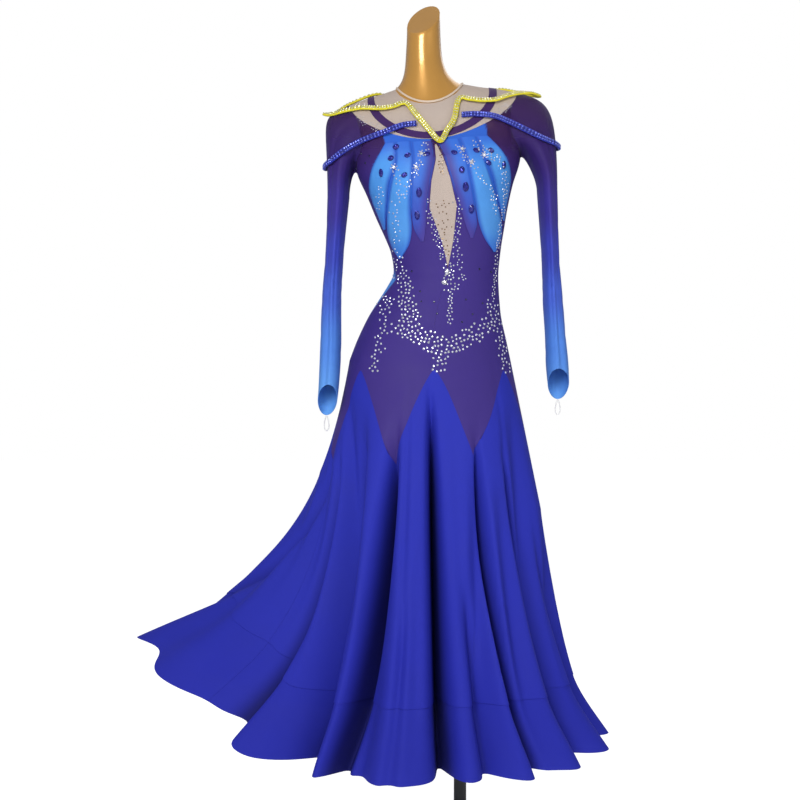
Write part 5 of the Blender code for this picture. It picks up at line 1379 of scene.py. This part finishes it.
def model_gem(sides, crown, table):
    """A stone of diameter 1 on the floor: a girdle, a slanted crown and a flat table, as points and faces."""
    bpy.ops.object.select_all(action="DESELECT")
    bpy.ops.mesh.primitive_cylinder_add(vertices=sides, radius=0.5, depth=crown * 0.35,
                                        end_fill_type="NGON", location=(0.0, 0.0, crown * 0.175))
    gem = bpy.context.object
    edit_faces(gem, lambda face: face.normal.z > 0.9)
    bpy.ops.mesh.extrude_region_move(TRANSFORM_OT_translate={"value": (0.0, 0.0, crown * 0.65)})
    bpy.ops.transform.resize(value=(table, table, 1.0), center_override=(0.0, 0.0, crown))
    bpy.ops.object.mode_set(mode="OBJECT")
    bpy.ops.object.transform_apply(location=True, rotation=True, scale=True)
    points = [vert.co.copy() for vert in gem.data.vertices]
    faces = [tuple(face.vertices) for face in gem.data.polygons]
    bpy.data.objects.remove(gem)
    return points, faces


def scatter(name, gem, places, material):
    """One mesh of many copies of a gem, each at (point, x axis, y axis, out, width, length, height)."""
    points, faces = [], []
    gem_points, gem_faces = gem
    for point, across, up, out, width, length, height in places:
        start = len(points)
        points += [point + across * (co.x * width) + up * (co.y * length) + out * (co.z * height)
                   for co in gem_points]
        faces += [tuple(start + index for index in face) for face in gem_faces]
    return correct_normals(add_mesh(name, points, faces, material, sharp=15.0))


class DRESS_OT_strips(bpy.types.Operator):
    """Make the yellow and the blue stoned strips over the shoulders"""
    bl_idname = "dress.strips"
    bl_label = "Shoulder strips"

    def execute(self, context):
        look = settings()
        layers = layers_of("cloth_", ("cloth_gore", "cloth_hem"))
        gem = model_gem(8, 0.42, 0.55)
        stone = look.strip_stone
        rows = (("trim_yellow", YELLOW_ROUTE, 460, True, look.yellow, srgb(196, 184, 44),
                 srgb(244, 242, 190), "yellow_stones"),
                ("trim_blue", BLUE_ROUTE, 380, False, look.strip_blue, srgb(28, 32, 118),
                 srgb(110, 124, 238), "blue_stones"))
        for name, route, count, closed, braid_colour, bed_colour, stone_colour, slot in rows:
            frames = strip_frames(*strip_stations(route, count, closed, layers), closed)
            layout = (("strip_", " braid", braid_colour, BRAID_SIZES, [name]),
                      ("stone_bed_", " bed", bed_colour, BED_SIZES, []))
            for kind, ending, colour, (width, thickness, rise, sides), nodes in layout:
                raised = [(point + thick * STRIP_THICKNESS * rise, along, wide, thick)
                          for point, along, wide, thick in frames]
                material = material_of(name + ending, plain_cloth_material, colour, 0.5)
                hand_over(sweep(kind + name, raised, closed, material, STRIP_WIDTH * width,
                                STRIP_THICKNESS * thickness, sides, STRIP_SQUARENESS), slot, *nodes)
            places, since = [], 0.0
            for before, (point, along, wide, thick) in zip(frames, frames[1:]):
                since += (point - before[0]).length
                if since >= stone * STONE_SPACING:
                    since = 0.0
                    for across, height, tilt in STONE_ROWS:
                        out = (thick * math.cos(tilt) + wide * math.sin(tilt)).normalized()
                        seat = point + wide * (STRIP_WIDTH * across) + thick * (STRIP_THICKNESS * height)
                        side = along.cross(out).normalized()
                        places.append((seat, side, side.cross(out).normalized(), out, stone, stone,
                                       stone * STONE_RISE))
            material = material_of(name + " stone", stone_material, stone_colour, 0.12, 0.55)
            hand_over(scatter("stones_" + name, gem, places, material), slot)
            layers += layers_of("strip_" + name)
        return {"FINISHED"}


# Stones

def stone_axes(out):
    across = Vector((0.0, 0.0, 1.0)).cross(out).normalized()
    return across, out.cross(across).normalized()


class DRESS_OT_large_stones(bpy.types.Operator):
    """Set the large navy stones and the two clear centre stones"""
    bl_idname = "dress.large_stones"
    bl_label = "Large stones"

    def execute(self, context):
        gem = model_gem(14, 0.36, 0.52)
        layers = layers_of("cloth_")
        groups = {"navy": ([], []), "clear": ([], [])}
        for name, x, height, width, length in STONES:
            angle, level = front_place(x, height)
            point, out = garment_point(angle, level), garment_normal(angle, level)
            across, up = stone_axes(out)
            if length <= width:
                spin = math.radians(math.copysign(SET_STONE_SPIN, -x))
                across, up = (across * math.cos(spin) + up * math.sin(spin),
                              up * math.cos(spin) - across * math.sin(spin))
            corners = [point + across * (width * a * 0.45) + up * (length * b * 0.45)
                       for a in (-1, 0, 1) for b in (-1, 0, 1)]
            hits = [first_hit(layers, corner, -out, 0.02)[0] for corner in corners]
            rise = max((hit - point).dot(out) for hit in hits if hit is not None)
            places, nodes = groups["clear" if name.startswith("centre") else "navy"]
            places.append((point + out * (rise + 0.0002), across, up, out, width, length, SET_STONE_HEIGHT))
            nodes.append("stone_" + name)
        finishes = (("navy", srgb(22, 22, 138), 0.5), ("clear", srgb(236, 238, 244), 0.85))
        for kind, colour, metallic in finishes:
            material = material_of("set %s stone" % kind, stone_material, colour, 0.05, metallic, 90.0, 0.10)
            places, nodes = groups[kind]
            hand_over(scatter("large_stones_" + kind, gem, places, material), kind + "_crystal", *nodes)
        return {"FINISHED"}


def path_place(path, share):
    """A point and its tangent at a share of a path's length."""
    lengths = [(Vector(b) - Vector(a)).length for a, b in zip(path, path[1:])]
    along = share * sum(lengths)
    for (a, b), length in zip(zip(path, path[1:]), lengths):
        if along <= length or (a, b) == (path[-2], path[-1]):
            start, end = Vector(a), Vector(b)
            return start + (end - start) * min(along / length, 1.0), (end - start).normalized()
        along -= length
    raise ValueError(share)


def streak_points(draw, count, diameter, half_spread, path):
    """Places of (x, z) scattered along a path, none closer than a stone and a bit."""
    chosen = []
    for _ in range(count * 40):
        if len(chosen) == count:
            break
        place, tangent = path_place(path, draw.random())
        side = Vector((-tangent.y, tangent.x))
        spot = place + side * half_spread * (draw.random() + draw.random() - 1.0)
        if all((spot - other).length > diameter * STREAK_DISTANCE for other in chosen):
            chosen.append(spot)
    return chosen


class DRESS_OT_small_stones(bpy.types.Operator):
    """Scatter the small clear and dark stones over the bodice and hips, in front and behind"""
    bl_idname = "dress.small_stones"
    bl_label = "Small stones"

    def execute(self, context):
        draw = random.Random(settings().seed)
        gem = model_gem(8, 0.40, 0.55)
        layers = layers_of(("cloth_", "large_"), ("cloth_sleeve", "cloth_hem"))
        clear, dark, pale_gold = [], [], []

        def set_stone(group, x, z, way, diameter):
            place, normal = first_hit(layers, Vector((x, 0.0, z)), Vector((0.0, way, 0.0)), 0.4)
            if place is None or abs(normal.y) < 0.06:
                return
            out = normal if normal.y * way < 0.0 else -normal
            across, up = stone_axes(out)
            size = diameter * draw.uniform(0.90, 1.08)
            group.append((place + out * 0.0001, across, up, out, size, size, size))

        used = []
        for name, count, diameter, half_spread, on_back, path in STREAKS:
            front_group = pale_gold if name in MESH_STREAKS else clear
            for spot in streak_points(draw, count, diameter, half_spread, path):
                if all((spot - other).length > diameter * STONE_DISTANCE for other in used):
                    used.append(spot)
                    set_stone(front_group, spot.x, spot.y, 1.0, diameter)
                    if on_back:
                        set_stone(clear, spot.x, spot.y, -1.0, diameter)
        for x, z in DARK_STONES:
            set_stone(dark, x, z, 1.0, DARK_STONE_SIZE)
        for x, z in CLEAR_CLUSTERS:
            set_stone(clear, x, z, 1.0, CLUSTER_STONE_SIZE)
            for step in range(6):
                turn = math.radians(60.0 * step + CLUSTER_RING_TURN)
                set_stone(clear, x + CLUSTER_RING * math.cos(turn), z + CLUSTER_RING * math.sin(turn), 1.0,
                          CLUSTER_RING_STONE)
        groups = (("small_stones_clear", "clear crystal", clear, srgb(222, 224, 236), 0.45, "clear_crystal"),
                  ("small_stones_gold", "pale gold crystal", pale_gold, srgb(150, 122, 84), 0.6,
                   "clear_crystal"),
                  ("small_stones_dark", "navy crystal", dark, srgb(22, 22, 70), 0.4, "navy_crystal"))
        for name, kind, places, colour, metallic, slot in groups:
            material = material_of(kind, stone_material, colour, 0.06, metallic)
            hand_over(scatter(name, gem, places, material), slot)
        return {"FINISHED"}


# Finger loops

class DRESS_OT_finger_loops(bpy.types.Operator):
    """Hang the white elastic loops from the cuff points"""
    bl_idname = "dress.finger_loops"
    bl_label = "Finger loops"

    def execute(self, context):
        material = material_of("White elastic", plain_cloth_material, srgb(240, 240, 240), 0.6)
        for side in ("left", "right"):
            low, high = [Vector(corner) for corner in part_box("finger_loop_" + side)]
            middle = (low + high) / 2.0
            half_width = (high.x - low.x) / 2.0 - LOOP_THICKNESS / 2.0
            half_length = (high.z - low.z) / 2.0 - LOOP_THICKNESS / 2.0
            points, outs = [], []
            for station in range(LOOP_STATIONS):
                turn = 2.0 * math.pi * station / LOOP_STATIONS
                across = half_width * (1.0 - LOOP_NARROWING * math.sin(turn)) * math.cos(turn)
                points.append(middle + Vector((across, 0.0, half_length * math.sin(turn))))
                outs.append(Vector((math.cos(turn), 0.0, math.sin(turn))))
            piece = sweep("elastic_loop_" + side, strip_frames(points, outs, True), True, material,
                          LOOP_THICKNESS, LOOP_THICKNESS, 10)
            hand_over(piece, "white_elastic", "finger_loop_" + side)
        return {"FINISHED"}


# Dress form and stand

def form_neck_point(angle):
    """A point of the lowest ring of the form's neck."""
    height, centre, half_width, front, back = NECK_FOOT
    x, y, _height, _centre = ring_point((height, height, height, centre, half_width, front, back, 2.0), angle)
    return Vector((centre + x, y, height))


def under_cut(place):
    """How far a place lies under the slanted cut of the form's neck."""
    return NECK_CUT_HEIGHT + NECK_CUT_RISE * place.y - place.z


class DRESS_OT_form(bpy.types.Operator):
    """Smooth the form's solid and give it its gold coat"""
    bl_idname = "dress.form"
    bl_label = "Dress form"

    def execute(self, context):
        bpy.ops.object.select_all(action="DESELECT")
        solid = frame["nodes"]["form_torso"]
        form = bpy.data.objects.new("gold_form", solid.data.copy())
        bpy.context.scene.collection.objects.link(form)
        form.select_set(True)
        context.view_layer.objects.active = form
        bpy.ops.object.mode_set(mode="EDIT")
        bpy.ops.mesh.select_all(action="SELECT")
        bpy.ops.mesh.remove_doubles(threshold=0.00005)
        bpy.ops.mesh.tris_convert_to_quads(face_threshold=math.radians(60.0),
                                           shape_threshold=math.radians(80.0))
        bpy.ops.mesh.normals_make_consistent(inside=False)
        bpy.ops.object.mode_set(mode="OBJECT")
        mesh = form.data
        edit_faces(form, lambda face: all(abs(under_cut(mesh.vertices[index].co)) < ON_CUT
                                          for index in face.vertices))
        bpy.ops.mesh.dissolve_faces()
        bpy.ops.mesh.inset(thickness=0.0016)
        bpy.ops.mesh.inset(thickness=0.0120)
        bpy.ops.object.mode_set(mode="OBJECT")
        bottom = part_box("form_torso")[0][2]
        crease = mesh.attributes.new("crease_edge", "FLOAT", "EDGE")
        for edge in mesh.edges:
            ends = [mesh.vertices[index].co for index in edge.vertices]
            on_cut = all(abs(under_cut(end)) < ON_CUT for end in ends)
            if on_cut or all(end.z < bottom + ON_CUT for end in ends):
                crease.data[edge.index].value = 0.85
        smooth = form.modifiers.new("Smooth", "SUBSURF")
        smooth.levels = smooth.render_levels = 2
        bpy.ops.object.modifier_apply(modifier=smooth.name)
        bpy.ops.object.mode_set(mode="EDIT")
        bpy.ops.mesh.select_mode(type="VERT")
        bpy.ops.object.mode_set(mode="OBJECT")
        for vert in form.data.vertices:
            vert.select = vert.co.z > 1.50 and under_cut(vert.co) > 0.002
        bpy.ops.object.mode_set(mode="EDIT")
        bpy.ops.mesh.vertices_smooth(factor=0.5, repeat=6)
        bpy.ops.object.mode_set(mode="OBJECT")
        bpy.ops.object.shade_smooth_by_angle(angle=math.radians(35.0))
        for vert in form.data.vertices:
            vert.co.z += NECK_CUT_SLOPE * (vert.co.x - NECK_CUT_X) * smoothstep(1.56, 1.63, vert.co.z)
        form.data.materials.clear()
        form.data.materials.append(material_of("Gold coat", gold_material))
        hand_over(form, "gold_shell", "form_torso")
        return {"FINISHED"}


class DRESS_OT_stand(bpy.types.Operator):
    """Make the pole and the round base"""
    bl_idname = "dress.stand"
    bl_label = "Pole and base"

    def execute(self, context):
        material = material_of("Dark enamelled metal", metal_material)
        for name, node_name, sides, edge in (("stand_pole", "form_pole", 64, 0.0006),
                                             ("stand_base", "form_base", 160, 0.0028)):
            low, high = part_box(node_name)
            bpy.ops.object.select_all(action="DESELECT")
            bpy.ops.mesh.primitive_cylinder_add(vertices=sides, radius=(high[0] - low[0]) / 2.0,
                                                depth=high[2] - low[2],
                                                location=(0.0, 0.0, (high[2] + low[2]) / 2.0))
            piece = bpy.context.object
            piece.name = name
            bpy.ops.object.transform_apply(location=True, rotation=True, scale=True)
            bevel = piece.modifiers.new("Edge", "BEVEL")
            bevel.width, bevel.segments, bevel.limit_method = edge, 4, "ANGLE"
            bpy.ops.object.modifier_apply(modifier=bevel.name)
            bpy.ops.object.shade_smooth_by_angle(angle=math.radians(40.0))
            piece.data.materials.append(material)
            hand_over(piece, "dark_metal", node_name)
        return {"FINISHED"}


# Studio

FLOOR_GLOW, WORLD_LIGHT = 0.74, 0.32
# Lights: name, place, size, power in watts. All are turned to the lit point.
LIGHTS = (("Key", (-1.2, -3.6, 2.5), 1.6, 105.0), ("Fill", (2.4, -2.8, 1.5), 2.2, 24.0),
          ("Top", (0.6, 1.8, 3.0), 2.0, 14.0))
LIT_POINT = Vector((-0.08, 0.0, 1.0))
CAMERA_PLACE = (-0.12, -3.2, 0.88)


class DRESS_OT_studio(bpy.types.Operator):
    """Lay the pale floor and set the soft lights and the camera"""
    bl_idname = "dress.studio"
    bl_label = "Studio"

    def execute(self, context):
        scene = context.scene
        scene.view_settings.view_transform = "Standard"
        bpy.ops.object.select_all(action="DESELECT")
        bpy.ops.mesh.primitive_plane_add(size=40.0, location=(0.0, 0.0, -0.0005))
        floor = bpy.context.object
        floor.name = "studio_floor"
        white = (1.0, 1.0, 1.0, 1.0)
        material, tree, shader, _vector = blank_material("Pale floor", Roughness=0.9, Specular_IOR_Level=0.1,
                                                         Base_Color=(0.90, 0.90, 0.90, 1.0),
                                                         Emission_Color=white)
        seen = node(tree, "ShaderNodeLightPath").outputs["Is Camera Ray"]
        feed(tree, shader, Emission_Strength=math_node(tree, "MULTIPLY", seen, FLOOR_GLOW))
        floor.data.materials.append(material)
        world = bpy.data.worlds.new("Studio")
        world.use_nodes = True
        tree = world.node_tree
        seen = node(tree, "ShaderNodeLightPath").outputs["Is Camera Ray"]
        bright = math_node(tree, "MULTIPLY", seen, 1.0 - WORLD_LIGHT)
        feed(tree, tree.nodes["Background"], Color=white,
             Strength=math_node(tree, "ADD", bright, WORLD_LIGHT))
        scene.world = world
        for name, place, size, power in LIGHTS:
            light = bpy.data.lights.new(name, "AREA")
            light.size, light.energy = size, power
            lamp = bpy.data.objects.new(name, light)
            scene.collection.objects.link(lamp)
            lamp.location = place
            lamp.rotation_euler = (LIT_POINT - Vector(place)).to_track_quat("-Z", "Y").to_euler()
        camera = bpy.data.objects.new("Camera", bpy.data.cameras.new("Camera"))
        scene.collection.objects.link(camera)
        camera.location = CAMERA_PLACE
        camera.rotation_euler = (math.radians(90.0), 0.0, 0.0)
        camera.data.lens, camera.data.sensor_width = 72.0, 36.0
        scene.camera = camera
        return {"FINISHED"}


STEPS = (DRESS_OT_studio, DRESS_OT_body, DRESS_OT_keyhole, DRESS_OT_yoke, DRESS_OT_leaves, DRESS_OT_sleeves,
         DRESS_OT_skirt, DRESS_OT_large_stones, DRESS_OT_strips, DRESS_OT_small_stones, DRESS_OT_finger_loops,
         DRESS_OT_form, DRESS_OT_stand)


class DRESS_PT_panel(bpy.types.Panel):
    """Sidebar panel of the dance dress"""
    bl_idname = "DRESS_PT_panel"
    bl_label = "Dance Dress"
    bl_space_type = "VIEW_3D"
    bl_region_type = "UI"
    bl_category = "Dance Dress"

    def draw(self, context):
        column = self.layout.column()
        for key in DressSettings.__annotations__:
            column.prop(context.scene.dance_dress, key)
        for step in STEPS:
            column.operator(step.bl_idname)


def register():
    for item in (DressSettings, *STEPS, DRESS_PT_panel):
        bpy.utils.register_class(item)
    bpy.types.Scene.dance_dress = PointerProperty(type=DressSettings)


def unregister():
    del bpy.types.Scene.dance_dress
    for item in reversed((DressSettings, *STEPS, DRESS_PT_panel)):
        bpy.utils.unregister_class(item)


def main():
    register()
    make_weave_group()
    make_drift_group()
    for step in STEPS:
        area, name = step.bl_idname.split(".")
        getattr(getattr(bpy.ops, area), name)()


if __name__ == "__main__":
    main()
